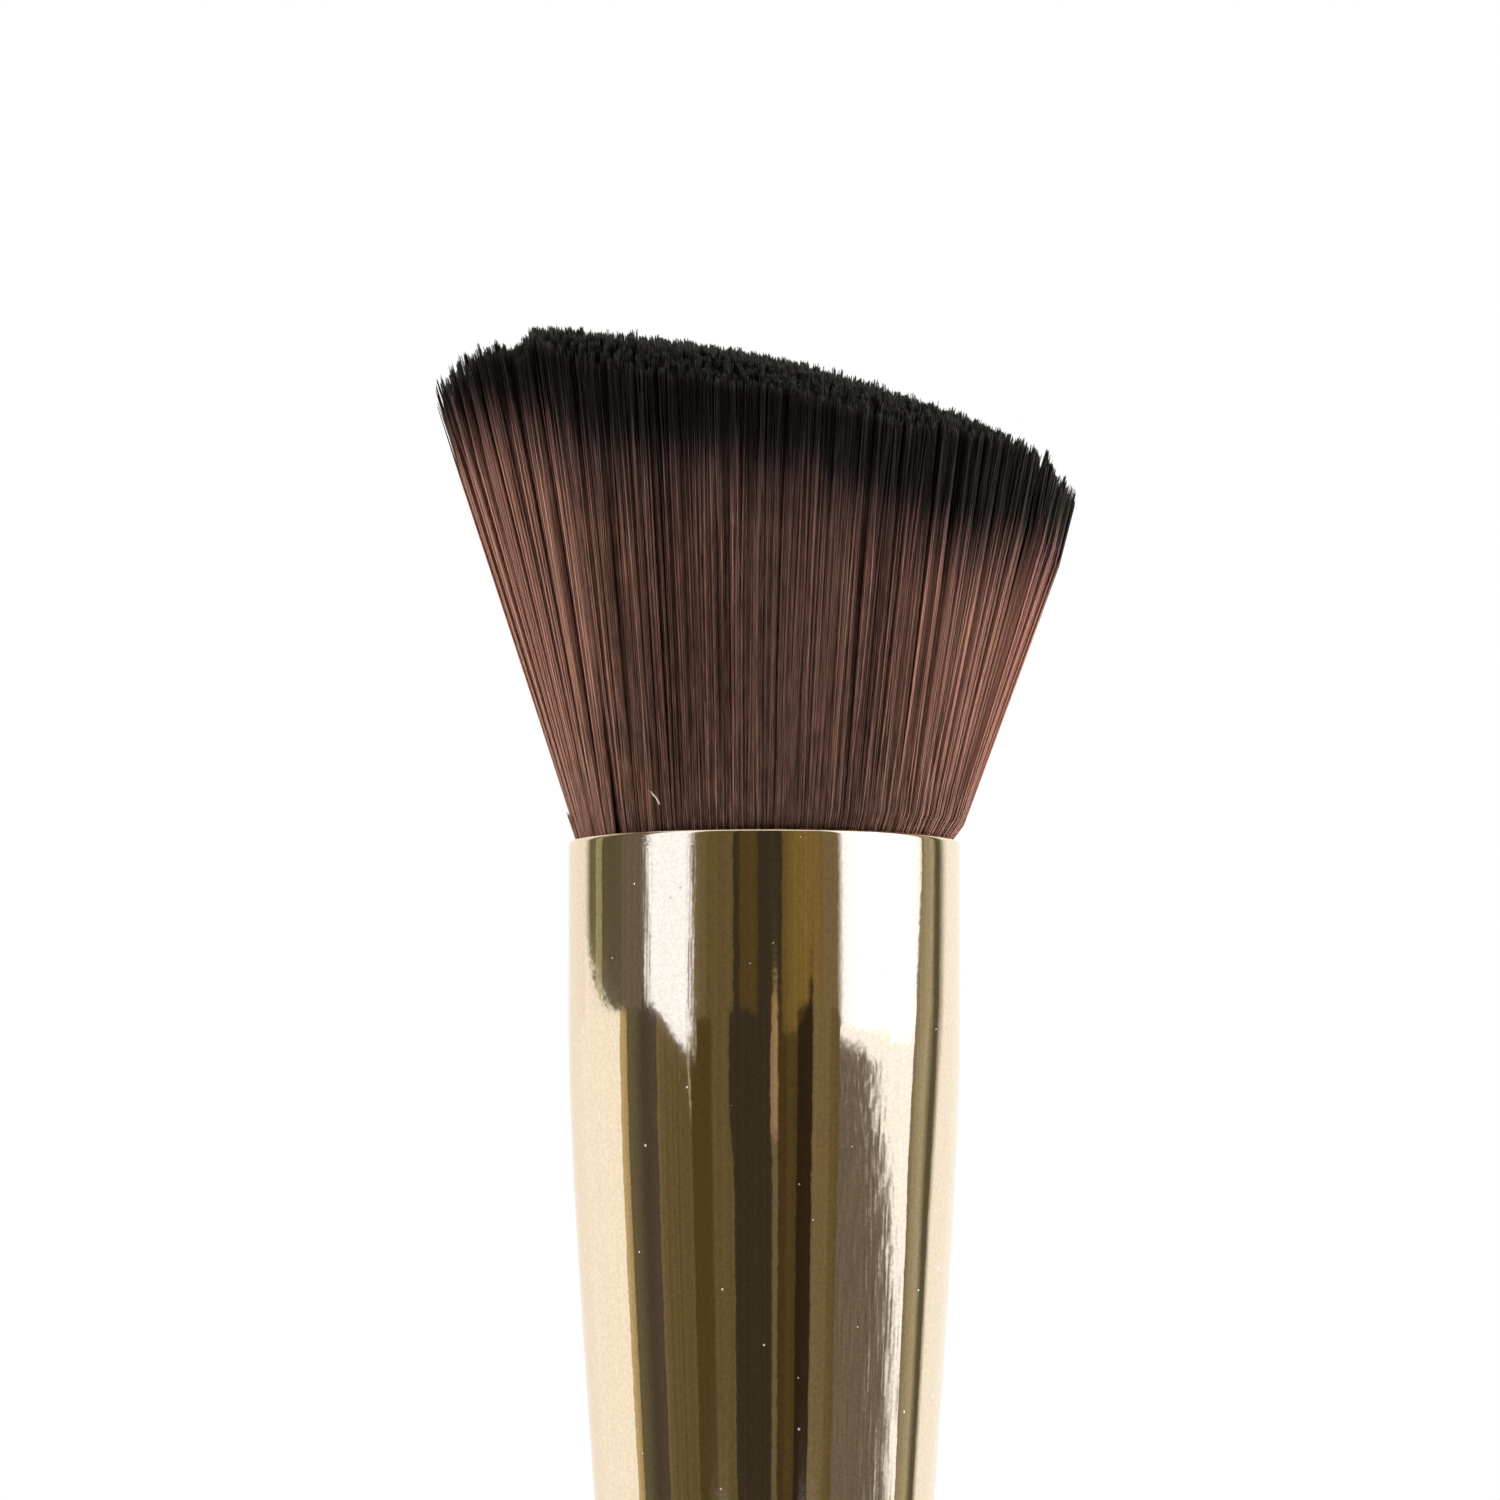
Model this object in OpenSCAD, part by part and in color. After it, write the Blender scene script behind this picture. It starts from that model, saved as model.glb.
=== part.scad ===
// Angled kabuki brush: a flared head of bristles with dark tips stands in a tapered metal ferrule,
// which is glued and crimped onto a turned wooden handle.
// The brush stands upright along +Z. The origin is the centre of the flat face at the handle's tail.

/* [Ferrule] */
// Outside diameter at the mouth, where the bristles come out
mouth_d = 21; // [18:0.5:26]
// Outside diameter at the neck, where the handle begins
neck_d = 16.6; // [14:0.2:18]
// Length from the neck up to the mouth
ferrule_len = 46; // [42:1:60]
// Length of the straight band below the mouth, which a holder's ring fits
grip_len = 9; // [5:0.5:12]
// How gently the straight band turns into the cone: a small value turns sharply
taper_bend = 0.25; // [0.1:0.05:0.6]
// Thickness of the metal
wall_t = 0.5; // [0.3:0.05:0.8]
// Number of rolled grooves that hold the handle
crimp_count = 2; // [1:1:3]
// Depth of each groove
crimp_depth = 0.6; // [0.3:0.05:0.8]
// Width of each groove along the brush
crimp_w = 1.6; // [1.2:0.1:2.4]
// Distance between the middles of two grooves
crimp_pitch = 3.2; // [2.6:0.1:4]
// Height of the lowest groove's middle above the neck
crimp_rise = 3.4; // [2:0.1:5]

/* [Handle] */
// Visible length of the handle, from its flat tail to the neck
handle_len = 83; // [60:1:110]
// Diameter at the slimmest place
waist_d = 11.6; // [9:0.2:13]
// Height of the slimmest place above the tail
waist_h = 30; // [20:1:45]
// Diameter at the tail
tail_d = 13.2; // [12:0.2:16]
// Radius of the rounding round the tail's edge
tail_round = 1.4; // [0.6:0.1:2.5]
// Length of the peg that the ferrule covers
tenon_len = 19; // [15:0.5:22]
// Slant that eases the peg's end into the ferrule
tenon_chamfer = 0.8; // [0.3:0.1:1.5]

/* [Adhesives] */
// Thickness of the glue over the end of the peg
glue_cap = 1; // [0.5:0.1:2]
// Length of the resin that holds the bristles' roots
resin_len = 11; // [8:0.5:14]
// Clearance between pieces that touch along a curved face
fit_gap = 0.02; // [0.01:0.01:0.05]

/* [Bristle roots] */
// Depth of the glued disc's top below the mouth
root_depth = 6; // [4:0.5:8]
// Thickness of the glued disc
root_t = 3; // [2:0.5:4]
// Thickness of the resin round the bound root's winding
resin_skin = 0.55; // [0.3:0.05:1.5]
// Length of the bound root below the disc
knot_len = 7; // [5:0.5:8]
// Thickness of the thread's winding round the bound root
thread_t = 0.6; // [0.3:0.05:1]
// Width of the thread's winding
thread_w = 2.4; // [1:0.2:4]

/* [Bristle head] */
// Number of strands
strand_count = 440; // [300:10:500]
// Height of the head above the mouth, on the brush's axis
head_h = 25.9; // [18:0.1:32]
// Slope of the slanted top, falling towards +X
slant_deg = 16.5; // [0:0.5:25]
// Angle that the outermost strands lean away from the axis
splay_deg = 19.9; // [5:0.5:24]
// Spread of the head from front to back, as a share of its spread from side to side
depth_share = 0.85; // [0.6:0.05:1]
// Sideways shift of the point that all strands fan out from
fan_shift = -0.5; // [-1.5:0.1:1.5]
// How much the rim is rounded down at the head's high end
high_drop = 7; // [2:0.5:9]
// How much the rim is rounded down at the head's low end
low_drop = 3.5; // [1:0.5:6]
// How close to the rim the rounding starts at the high end: a large value keeps the top flatter
high_bend = 3.4; // [2:0.2:8]
// How close to the rim the rounding starts at the low end
low_bend = 8.6; // [2:0.2:12]
// How much the rim is rounded down at the front and back
side_drop = 1.8; // [0:0.2:5]
// Free room between the outermost strands and the ferrule's wall
rim_gap = 0.2; // [0.1:0.05:0.5]
// Share of the space between two strands' middles that a strand fills
strand_fill = 0.78; // [0.5:0.02:0.86]
// Width of a strand's tip
tip_w = 0.24; // [0.1:0.02:0.4]
// Height of the strands' widest place, as a share of their height above the mouth
belly = 0.62; // [0.4:0.02:0.75]
// Unevenness of the strands' lengths
tip_scatter = 0.3; // [0:0.05:0.6]

/* [Hidden] */

$fn = 48;

mouth_r = mouth_d / 2;
neck_r = neck_d / 2;
bore_r = mouth_r - wall_t;
tail_r = tail_d / 2;
waist_r = waist_d / 2;

z_neck = handle_len;
z_mouth = z_neck + ferrule_len;
z_grip = z_mouth - grip_len;
z_crimp_top = z_neck + crimp_rise + (crimp_count - 1) * crimp_pitch + crimp_w / 2;
z_tenon_top = z_neck + tenon_len;
z_disc_top = z_mouth - root_depth;
z_disc = z_disc_top - root_t;
z_knot = z_disc - knot_len;
z_resin = z_disc - resin_len;
z_thread = z_disc - knot_len / 2;

// Free room round a place in the resin: its own clearance on both sides
thread_room = thread_t + 2 * fit_gap;
// Radius of the bound root, which leaves room for its winding and the resin round that
knot_r = inner_r(z_knot) - fit_gap - resin_skin - thread_room;

// Steps of the turned outlines: over each groove, the cone, each half of the handle and each rounding
groove_steps = 6;
taper_steps = 10;
handle_steps = 8;
round_steps = 4;
// Steps of the resin's and the glue's outlines, which follow the cone
fill_steps = 4;
// Depth that the strands' roots are sunk in the glued disc
root_sink = 0.6;
// Turn from one strand to the next that spreads points evenly over a disc
golden_turn = 137.508;
// Turn of each strand's own corners against the last strand's
strand_turn = 47;
// Turn that scatters the strands' lengths
scatter_turn = 77;

// Share of the taper reached at t, from 0 at the straight band to 1 at the neck
function taper(t) =
    (sqrt(t * t + taper_bend * taper_bend) - taper_bend)
    / (sqrt(1 + taper_bend * taper_bend) - taper_bend);

// Depth of one rolled groove at a distance from its middle
function groove(away) = abs(away) < crimp_w / 2 ? crimp_depth * (1 + cos(360 * away / crimp_w)) / 2 : 0;

// Height of the middle of groove i
function groove_z(i) = z_neck + crimp_rise + i * crimp_pitch;

// Depth of the rolled grooves at height z
function crimp(z) = max([for (i = [0 : crimp_count - 1]) groove(z - groove_z(i))]);

// Outside radius of the ferrule at height z
function shell_r(z) =
    z >= z_grip ? mouth_r
    : mouth_r - (mouth_r - neck_r) * taper((z_grip - z) / (z_grip - z_neck)) - crimp(z);

// Inside radius of the ferrule at height z
function inner_r(z) = shell_r(z) - wall_t;

// Radius of the peg at height z: straight, and pressed in by the grooves
function tenon_r(z) = min(neck_r - wall_t, inner_r(z)) - fit_gap;

// Heights that an outline passes between two levels, both included
function levels(low, high, count) = [for (i = [0 : count]) low + (high - low) * i / count];

// Heights over the grooves and over the cone above them
crimp_levels = concat([z_neck], [
    for (i = [0 : crimp_count - 1])
    each levels(groove_z(i) - crimp_w / 2, groove_z(i) + crimp_w / 2, groove_steps)
]);
cone_levels = levels(z_crimp_top, z_grip, taper_steps);

// Smooth step from 0 to 1
function ease(t) = t * t * (3 - 2 * t);

// Slope of the cone, measured over 1 mm above the grooves, which the handle carries on
neck_slope = shell_r(z_crimp_top + 1) - shell_r(z_crimp_top);

// Radius of the handle between tail and waist
function tail_curve(z) = tail_r + (waist_r - tail_r) * ease(z / waist_h);

// Radius of the handle between waist and neck: a cubic that ends on the cone's slope
function neck_curve(z) =
    let (span = z_neck - waist_h, t = (z - waist_h) / span)
    waist_r + (neck_r - waist_r) * ease(t) + neck_slope * span * (t * t * t - t * t);

// Radius of the fan's circle of outermost strands where it crosses the mouth
strand_gap = sqrt(PI / strand_count);
ring_r = (bore_r - rim_gap) / (1 + strand_gap * strand_fill / 2);
// Distance between two strands' middles at the mouth
spacing = ring_r * strand_gap;
// Depth below the mouth of the point that all strands fan out from
fan_depth = ring_r / tan(splay_deg);

// Where strand i crosses the mouth
function strand_seat(i) =
    let (r = ring_r * sqrt((i + 0.5) / strand_count), a = i * golden_turn)
    [r * cos(a), r * sin(a)];

// How far the rim's rounding lowers a tip that crosses the mouth at p
function rim_drop(p) =
    let (
        reach = norm(p) / ring_r,
        c = p[0] / max(norm(p), 0.001),
        depth = side_drop * (1 - c * c) + (c < 0 ? high_drop : low_drop) * c * c,
        bend = (high_bend * (1 - c) + low_bend * (1 + c)) / 2
    )
    depth * pow(reach, bend);

// Height above the mouth of strand i's tip, on the slanted top
function tip_h(i) =
    let (p = strand_seat(i), m = tan(slant_deg))
    (head_h - m * p[0] - rim_drop(p)) / (1 + m * (p[0] - fan_shift) / fan_depth)
    - tip_scatter * (1 + sin(i * scatter_turn)) / 2;

// Three corners of strand i at height h above the mouth, w across
function strand_ring(i, h, w) =
    let (p = strand_seat(i), wide = 1 + h / fan_depth, deep = 1 + depth_share * h / fan_depth)
    [for (j = [0 : 2]) [
        fan_shift + (p[0] - fan_shift) * wide + w / 2 * cos(120 * j + i * strand_turn),
        p[1] * deep + w / 2 * sin(120 * j + i * strand_turn),
        z_mouth + h
    ]];

// Width of a strand at height h when it grows with the fan
function fan_w(h) = spacing * strand_fill * (1 + h / fan_depth);

// Least distance between the middles of two strands where they cross the mouth
least_seat = min([
    for (i = [0 : strand_count - 2])
    min([for (j = [i + 1 : strand_count - 1]) norm(strand_seat(i) - strand_seat(j))])
]);
// Least room between two strands at height h: all fan out, so what is apart at the mouth stays apart
function least_room(h) = least_seat * (1 + depth_share * h / fan_depth) - fan_w(h);
echo("Least room between two strands at the mouth, mm", least_room(0));
echo("Least room between two strands at the belly, mm", least_room(belly * head_h));

// Triangles between ring a and the ring above it
function band(a) = [
    for (j = [0 : 2])
    let (low = 3 * a, k = (j + 1) % 3)
    each [[low + 3 + j, low + 3 + k, low + k], [low + 3 + j, low + k, low + j]]
];

// One strand, three-sided and straight: sunk in the disc, widest at its belly, fine at its tip
module strand(i) {
    top = tip_h(i);
    root = -root_depth - root_sink;
    polyhedron(
        points = concat(
            strand_ring(i, root, fan_w(root)),
            strand_ring(i, top * belly, fan_w(top * belly)),
            strand_ring(i, top, tip_w)
        ),
        faces = concat([[0, 1, 2]], band(0), band(1), [[8, 7, 6]])
    );
}

// The hair: strands fused to a glued disc, with the bound root below it
module bristle_bundle() {
    color("sienna")
    union() {
        translate([0, 0, z_disc]) cylinder(r = bore_r - fit_gap, h = root_t);
        translate([0, 0, z_knot]) cylinder(r = knot_r, h = knot_len + root_t / 2);
        for (i = [0 : strand_count - 1]) strand(i);
    }
}

// The winding of thread that binds the roots
module binding_thread() {
    color("ivory")
    translate([0, 0, z_thread - thread_w / 2])
    rotate_extrude()
    translate([knot_r + fit_gap, 0])
    square([thread_t, thread_w]);
}

// The resin that holds the bound root in the ferrule
module root_resin() {
    body_levels = levels(z_resin, z_disc - fit_gap, fill_steps);
    color("khaki")
    difference() {
        rotate_extrude()
        polygon(concat(
            [[0, z_resin]],
            [for (z = body_levels) [inner_r(z) - fit_gap, z]],
            [[0, z_disc - fit_gap]]
        ));
        translate([0, 0, z_knot - fit_gap]) cylinder(r = knot_r + fit_gap, h = knot_len + root_t);
        translate([0, 0, z_thread - thread_w / 2 - fit_gap])
        cylinder(r = knot_r + thread_t + 2 * fit_gap, h = thread_w + 2 * fit_gap);
    }
}

// The metal sleeve, with a rounded lip at the mouth
module ferrule() {
    lip_r = wall_t / 2;
    side = concat(crimp_levels, [for (i = [1 : taper_steps]) cone_levels[i]]);
    count = len(side);
    color("goldenrod")
    rotate_extrude()
    polygon(concat(
        [for (z = side) [shell_r(z), z]],
        [for (i = [0 : round_steps])
            let (a = 180 * i / round_steps)
            [mouth_r - lip_r + lip_r * cos(a), z_mouth - lip_r + lip_r * sin(a)]],
        [for (i = [count - 1 : -1 : 0]) [inner_r(side[i]), side[i]]]
    ));
}

// The glue round the upper part of the peg and over its end
module handle_glue() {
    low = z_crimp_top + fit_gap;
    high = z_tenon_top + glue_cap;
    color("wheat")
    difference() {
        rotate_extrude()
        polygon(concat(
            [[0, low]],
            [for (z = levels(low, high, fill_steps)) [inner_r(z) - fit_gap, z]],
            [[0, high]]
        ));
        tenon(fit_gap);
    }
}

// The peg, grown by a margin where the glue leaves room for it
module tenon(margin) {
    top = z_tenon_top - tenon_chamfer;
    full_r = neck_r - wall_t - fit_gap;
    rotate_extrude()
    polygon(concat(
        [[0, z_neck - 1]],
        [[tenon_r(z_neck) + margin, z_neck - 1]],
        [for (z = crimp_levels) [tenon_r(z) + margin, z]],
        [[full_r + margin, top + margin / 2]],
        [[full_r - tenon_chamfer + margin / 2, z_tenon_top + margin]],
        [[0, z_tenon_top + margin]]
    ));
}

// The turned handle with its flat tail, slim waist and peg
module handle() {
    tail_levels = levels(tail_round, waist_h, handle_steps);
    upper_levels = levels(waist_h, z_neck, handle_steps);
    edge_r = tail_curve(tail_round);
    color("#15151a")
    union() {
        rotate_extrude()
        polygon(concat(
            [[0, 0]],
            [for (i = [0 : round_steps])
                let (a = 90 * i / round_steps)
                [edge_r - tail_round + tail_round * sin(a), tail_round - tail_round * cos(a)]],
            [for (i = [1 : handle_steps]) [tail_curve(tail_levels[i]), tail_levels[i]]],
            [for (i = [1 : handle_steps]) [neck_curve(upper_levels[i]), upper_levels[i]]],
            [[0, z_neck]]
        ));
        tenon(0);
    }
}

bristle_bundle();
binding_thread();
root_resin();
ferrule();
handle_glue();
handle();
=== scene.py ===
"""Dresses the slanted kabuki brush: fine hair with dark tips, a polished ferrule and a lacquered handle.

The brush's classes work in millimetres, with Z up from the handle's tail. A mesh is turned to metres as it is
made. The studio works in metres.
"""
import logging
import math
from dataclasses import dataclass, field
from enum import Enum
from typing import Any

import bpy
import numpy as np
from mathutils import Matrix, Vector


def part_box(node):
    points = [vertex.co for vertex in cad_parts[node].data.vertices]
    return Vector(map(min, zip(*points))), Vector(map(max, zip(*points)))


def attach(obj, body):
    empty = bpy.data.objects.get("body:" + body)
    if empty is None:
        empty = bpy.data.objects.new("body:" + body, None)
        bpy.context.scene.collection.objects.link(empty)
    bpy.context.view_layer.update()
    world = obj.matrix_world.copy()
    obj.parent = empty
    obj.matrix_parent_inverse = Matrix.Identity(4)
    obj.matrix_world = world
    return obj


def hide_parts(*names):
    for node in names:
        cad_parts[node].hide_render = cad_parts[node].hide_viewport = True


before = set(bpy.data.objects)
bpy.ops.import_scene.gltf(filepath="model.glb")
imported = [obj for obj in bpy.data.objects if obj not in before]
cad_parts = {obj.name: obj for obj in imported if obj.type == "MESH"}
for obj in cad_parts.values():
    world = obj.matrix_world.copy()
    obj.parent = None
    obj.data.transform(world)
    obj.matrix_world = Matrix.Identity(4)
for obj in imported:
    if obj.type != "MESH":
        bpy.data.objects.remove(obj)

LOG = logging.getLogger("kabuki_brush")
MM = 0.001
BODY = "root"
BAKE_MAP = "OFBake"
WHITE = (1.0, 1.0, 1.0, 1.0)

Pair = tuple[float, float]
Triple = tuple[float, float, float]
Socket = bpy.types.NodeSocket


# Shader helpers


class Value:
    """A number socket that can be used in Python arithmetic."""

    def __init__(self, tree: "ShaderTree", socket: Socket) -> None:
        """Wraps the socket of a node in this tree."""
        self.tree = tree
        self.socket = socket

    def __add__(self, other: "Number") -> "Value":
        """Sum."""
        return self.tree.maths("ADD", self, other)

    __radd__ = __add__

    def __sub__(self, other: "Number") -> "Value":
        """Difference."""
        return self.tree.maths("SUBTRACT", self, other)

    def __rsub__(self, other: "Number") -> "Value":
        """Difference, with the number first."""
        return self.tree.maths("SUBTRACT", other, self)

    def __mul__(self, other: "Number") -> "Value":
        """Product."""
        return self.tree.maths("MULTIPLY", self, other)

    __rmul__ = __mul__

    def clamped(self) -> "Value":
        """The value held between 0 and 1."""
        return self.tree.value("ShaderNodeClamp", None, {"Value": self})

    def over(self, low: float, high: float) -> "Value":
        """A smooth step: 0 below low and 1 above high."""
        return self.tree.value(
            "ShaderNodeMapRange",
            {"interpolation_type": "SMOOTHSTEP"},
            {"Value": self, "From Min": low, "From Max": high},
        )


Number = Value | float | int


class ShaderTree:
    """Builds the nodes of one material or world."""

    def __init__(self, tree: bpy.types.NodeTree) -> None:
        """Works on the node tree of a material or of the world."""
        self.tree = tree

    def node(
        self,
        kind: str,
        settings: dict[str, Any] | None = None,
        sockets: dict[str | int, Any] | None = None,
    ) -> bpy.types.Node:
        """Makes any node.

        Args:
            kind: The node's type.
            settings: Its properties, such as a Math node's operation, set first.
            sockets: A value, a socket or a Value for each input, by name or number.

        Returns:
            The new node.
        """
        made = self.tree.nodes.new(kind)
        for name, setting in (settings or {}).items():
            setattr(made, name, setting)
        self.fill(made, sockets or {})
        return made

    def fill(self, node: bpy.types.Node, sockets: dict[str | int, Any]) -> None:
        """Links sockets and Values to a node's inputs, and sets the rest as constants."""
        for key, given in sockets.items():
            given = given.socket if isinstance(given, Value) else given
            if isinstance(given, Socket):
                self.tree.links.new(given, node.inputs[key])
            else:
                node.inputs[key].default_value = given

    def value(self, kind: str, settings: dict | None, sockets: dict | None, output: str | int = 0) -> Value:
        """Makes a node and wraps one of its outputs for arithmetic."""
        return Value(self, self.node(kind, settings, sockets).outputs[output])

    def maths(self, operation: str, first: Number, second: Number = 0.0) -> Value:
        """Adds one Math node."""
        return self.value("ShaderNodeMath", {"operation": operation}, {0: first, 1: second})

    def attribute(self, name: str) -> Value:
        """Reads one of the mesh's own numbers."""
        return self.value("ShaderNodeAttribute", {"attribute_name": name}, None, "Fac")

    def place(self) -> Socket:
        """Object coordinates, in metres."""
        return self.node("ShaderNodeTexCoord").outputs["Object"]

    def vector(self, first: Number, second: Number, third: Number) -> Socket:
        """Joins three numbers to a vector."""
        return self.node("ShaderNodeCombineXYZ", None, {0: first, 1: second, 2: third}).outputs[0]

    def noise(self, vector: Socket, scale: float, detail: float = 2.0) -> Value:
        """Soft noise between 0 and 1."""
        return self.value("ShaderNodeTexNoise", None, {"Vector": vector, "Scale": scale, "Detail": detail})

    def grain(self, scales: Triple, detail: float = 2.0) -> Value:
        """Soft noise between 0 and 1 with a scale of its own along each axis of the object."""
        place = self.node("ShaderNodeMapping", None, {"Vector": self.place(), "Scale": scales}).outputs[0]
        return self.noise(place, 1.0, detail)

    def mix(self, factor: Number, first: Any, second: Any) -> Socket:
        """Mixes two colours, each a tuple or a socket, in the colour sockets of a Mix node."""
        first = (*first, 1.0) if isinstance(first, tuple) else first
        second = (*second, 1.0) if isinstance(second, tuple) else second
        made = self.node("ShaderNodeMix", {"data_type": "RGBA"}, {0: factor, 6: first, 7: second})
        return made.outputs[2]

    def blend(self, factor: Number, first: bpy.types.Node, second: bpy.types.Node) -> Socket:
        """Mixes two shaders."""
        sockets = {0: factor, 1: first.outputs[0], 2: second.outputs[0]}
        return self.node("ShaderNodeMixShader", None, sockets).outputs[0]

    def bump(self, height: Value, strength: float, distance_mm: float) -> Socket:
        """A Bump node's normal, from a height between 0 and 1 that stands for a distance."""
        sockets = {"Height": height, "Strength": strength, "Distance": distance_mm * MM}
        return self.node("ShaderNodeBump", None, sockets).outputs[0]


def new_material(name: str) -> tuple[bpy.types.Material, ShaderTree]:
    """Makes a material, and gives the tree that its nodes go into."""
    made = bpy.data.materials.new(name)
    made.use_nodes = True
    return made, ShaderTree(made.node_tree)


@dataclass(frozen=True)
class Finish:
    """A procedural material. Subclasses add the nodes in wire."""

    name: str
    slot: str

    def wire(self, tree: ShaderTree, shader: bpy.types.Node) -> None:
        """Adds the finish's own nodes and constants."""
        raise NotImplementedError

    def material(self) -> bpy.types.Material:
        """Returns the finish's material, made once and shared by its pieces."""
        made = bpy.data.materials.get(self.name)
        if made is None:
            made, tree = new_material(self.name)
            self.wire(tree, made.node_tree.nodes["Principled BSDF"])
        return made


# Finishes


@dataclass(frozen=True)
class DippedHair(Finish):
    """Synthetic hair: warm brown by a shade on every hair, which holds its own tone together with painted
    light and shade, and ends dyed black to a level edge.

    The pairs are where a change starts and where it is whole: a hair's shade turning pale, and millimetres
    below the dye's edge or from the tip.
    """

    light: Triple = (0.385, 0.198, 0.128)
    plum: Triple = (0.365, 0.168, 0.134)
    deep: Triple = (0.086, 0.039, 0.023)
    edge: Triple = (0.088, 0.047, 0.043)
    tip: Triple = (0.0185, 0.0145, 0.0092)
    end: Triple = (0.034, 0.032, 0.022)
    bleached: Triple = (0.62, 0.50, 0.42)
    streaks: Triple = (3200.0, 3200.0, 160.0)
    painted_streak_light_share: float = 1.1
    pale_shade: Pair = (1.4, 1.5)
    creep_mm: float = 1.8
    dyed_mm: Pair = (-0.9, 0.7)
    dull_mm: Pair = (-0.4, 4.68)
    end_mm: Pair = (0.05, 0.5)

    def wire(self, tree: ShaderTree, shader: bpy.types.Node) -> None:
        """Brown by each hair's shade, through a dull plum edge, to black above the dye's edge.

        The undyed attribute is the distance below that edge, in millimetres. The dye creeps a little further
        down some hairs. The cut ends are slightly grey, and a stray hair with a high shade is nearly white.
        """
        dip = tree.attribute("dip")
        # Each hair's shade holds its own tone together with painted light on the sides and edges, and painted
        # shade at the crease and near the mouth.
        own = tree.attribute("shade")
        # Streaks along each hair: painted light and shade where hairs rise out of and sink into the head, on
        # top of their own tone.
        shade = own + (tree.grain(self.streaks) - 0.5) * self.painted_streak_light_share
        brown = tree.mix(shade.clamped(), self.deep, tree.mix(dip.clamped(), self.light, self.plum))
        brown = tree.mix(own.over(*self.pale_shade), brown, self.bleached)
        undyed = tree.attribute("undyed") + (dip - 0.5) * self.creep_mm
        dull = tree.mix(undyed.over(*self.dull_mm), self.edge, brown)
        black = tree.mix(tree.attribute("from_tip").over(*self.end_mm), self.end, self.tip)
        tree.fill(shader, {
            "Base Color": tree.mix(undyed.over(*self.dyed_mm), black, dull),
            "Roughness": 0.45,
            "Specular IOR Level": 0.25,
        })


@dataclass(frozen=True)
class PolishedGold(Finish):
    """Mirror-polished, anodised metal with a faint waviness and specks of dust."""

    colour: Triple = (0.935, 0.775, 0.575)
    dust: Triple = (0.80, 0.76, 0.70)
    mottle: float = 0.89
    mottle_scale: float = 5200.0
    speck_scale: float = 1100.0
    speck_size: Pair = (0.05, 0.09)
    choice_scale: float = 900.0
    choice: Pair = (0.60, 0.61)
    strokes: Triple = (2000.0, 2000.0, 900.0)
    stroke_height: float = 0.045
    waves: Triple = (260.0, 260.0, 30.0)
    wave_height: float = 0.25
    polish: float = 0.045

    def wire(self, tree: ShaderTree, shader: bpy.types.Node) -> None:
        """Metal with a fine mottle, a normal that wavers in short upright strokes, and pin-prick dust.

        A speck is the middle of a Voronoi cell, where a slower noise chooses it.
        """
        near = tree.value(
            "ShaderNodeTexVoronoi", None, {"Vector": tree.place(), "Scale": self.speck_scale}, "Distance"
        )
        chosen = tree.noise(tree.place(), self.choice_scale, 0.0).over(*self.choice)
        specks = (1.0 - near.over(*self.speck_size)) * chosen
        height = tree.grain(self.strokes) * self.stroke_height
        height = height + tree.grain(self.waves, 1.0) * self.wave_height
        mottled = tree.noise(tree.place(), self.mottle_scale, 1.0).over(0.3, 0.7)
        gold = tree.mix(mottled, tuple(self.mottle * part for part in self.colour), self.colour)
        tree.fill(shader, {
            "Base Color": tree.mix(specks, gold, self.dust),
            "Metallic": 1.0 - specks * 0.8,
            "Roughness": specks * 0.5 + self.polish,
            "Normal": tree.bump(height, 1.0, 0.05),
        })


@dataclass(frozen=True)
class BlackLacquer(Finish):
    """Deep black lacquer over turned wood, whose grain just telegraphs through."""

    colour: Triple = (0.0075, 0.0072, 0.0078)
    worn: Triple = (0.016, 0.015, 0.015)
    ripples: Triple = (900.0, 900.0, 45.0)
    cloud_scale: float = 70.0

    def wire(self, tree: ShaderTree, shader: bpy.types.Node) -> None:
        """Glossy black with long grain ripples and a slightly uneven sheen."""
        cloud = tree.noise(tree.place(), self.cloud_scale, 3.0)
        tree.fill(shader, {
            "Base Color": tree.mix(cloud, self.colour, self.worn),
            "Roughness": 0.09 + cloud * 0.06,
            "Specular IOR Level": 0.12,
            "Coat Weight": 0.7,
            "Coat Roughness": 0.04,
            "Normal": tree.bump(tree.grain(self.ripples, 4.0), 0.12, 0.03),
        })


@dataclass(frozen=True)
class CastResin(Finish):
    """Set resin or glue: amber, glossy and a little cloudy."""

    clear: Triple = (0.50, 0.36, 0.14)
    cloudy: Triple = (0.66, 0.55, 0.33)
    cloud_scale: float = 260.0
    flow_scale: float = 700.0

    def wire(self, tree: ShaderTree, shader: bpy.types.Node) -> None:
        """Amber clouds under a smooth surface with small flow marks."""
        cloud = tree.noise(tree.place(), self.cloud_scale, 4.0)
        tree.fill(shader, {
            "Base Color": tree.mix(cloud, self.clear, self.cloudy),
            "Roughness": 0.18 + cloud * 0.2,
            "Normal": tree.bump(tree.noise(tree.place(), self.flow_scale), 0.2, 0.1),
        })


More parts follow.
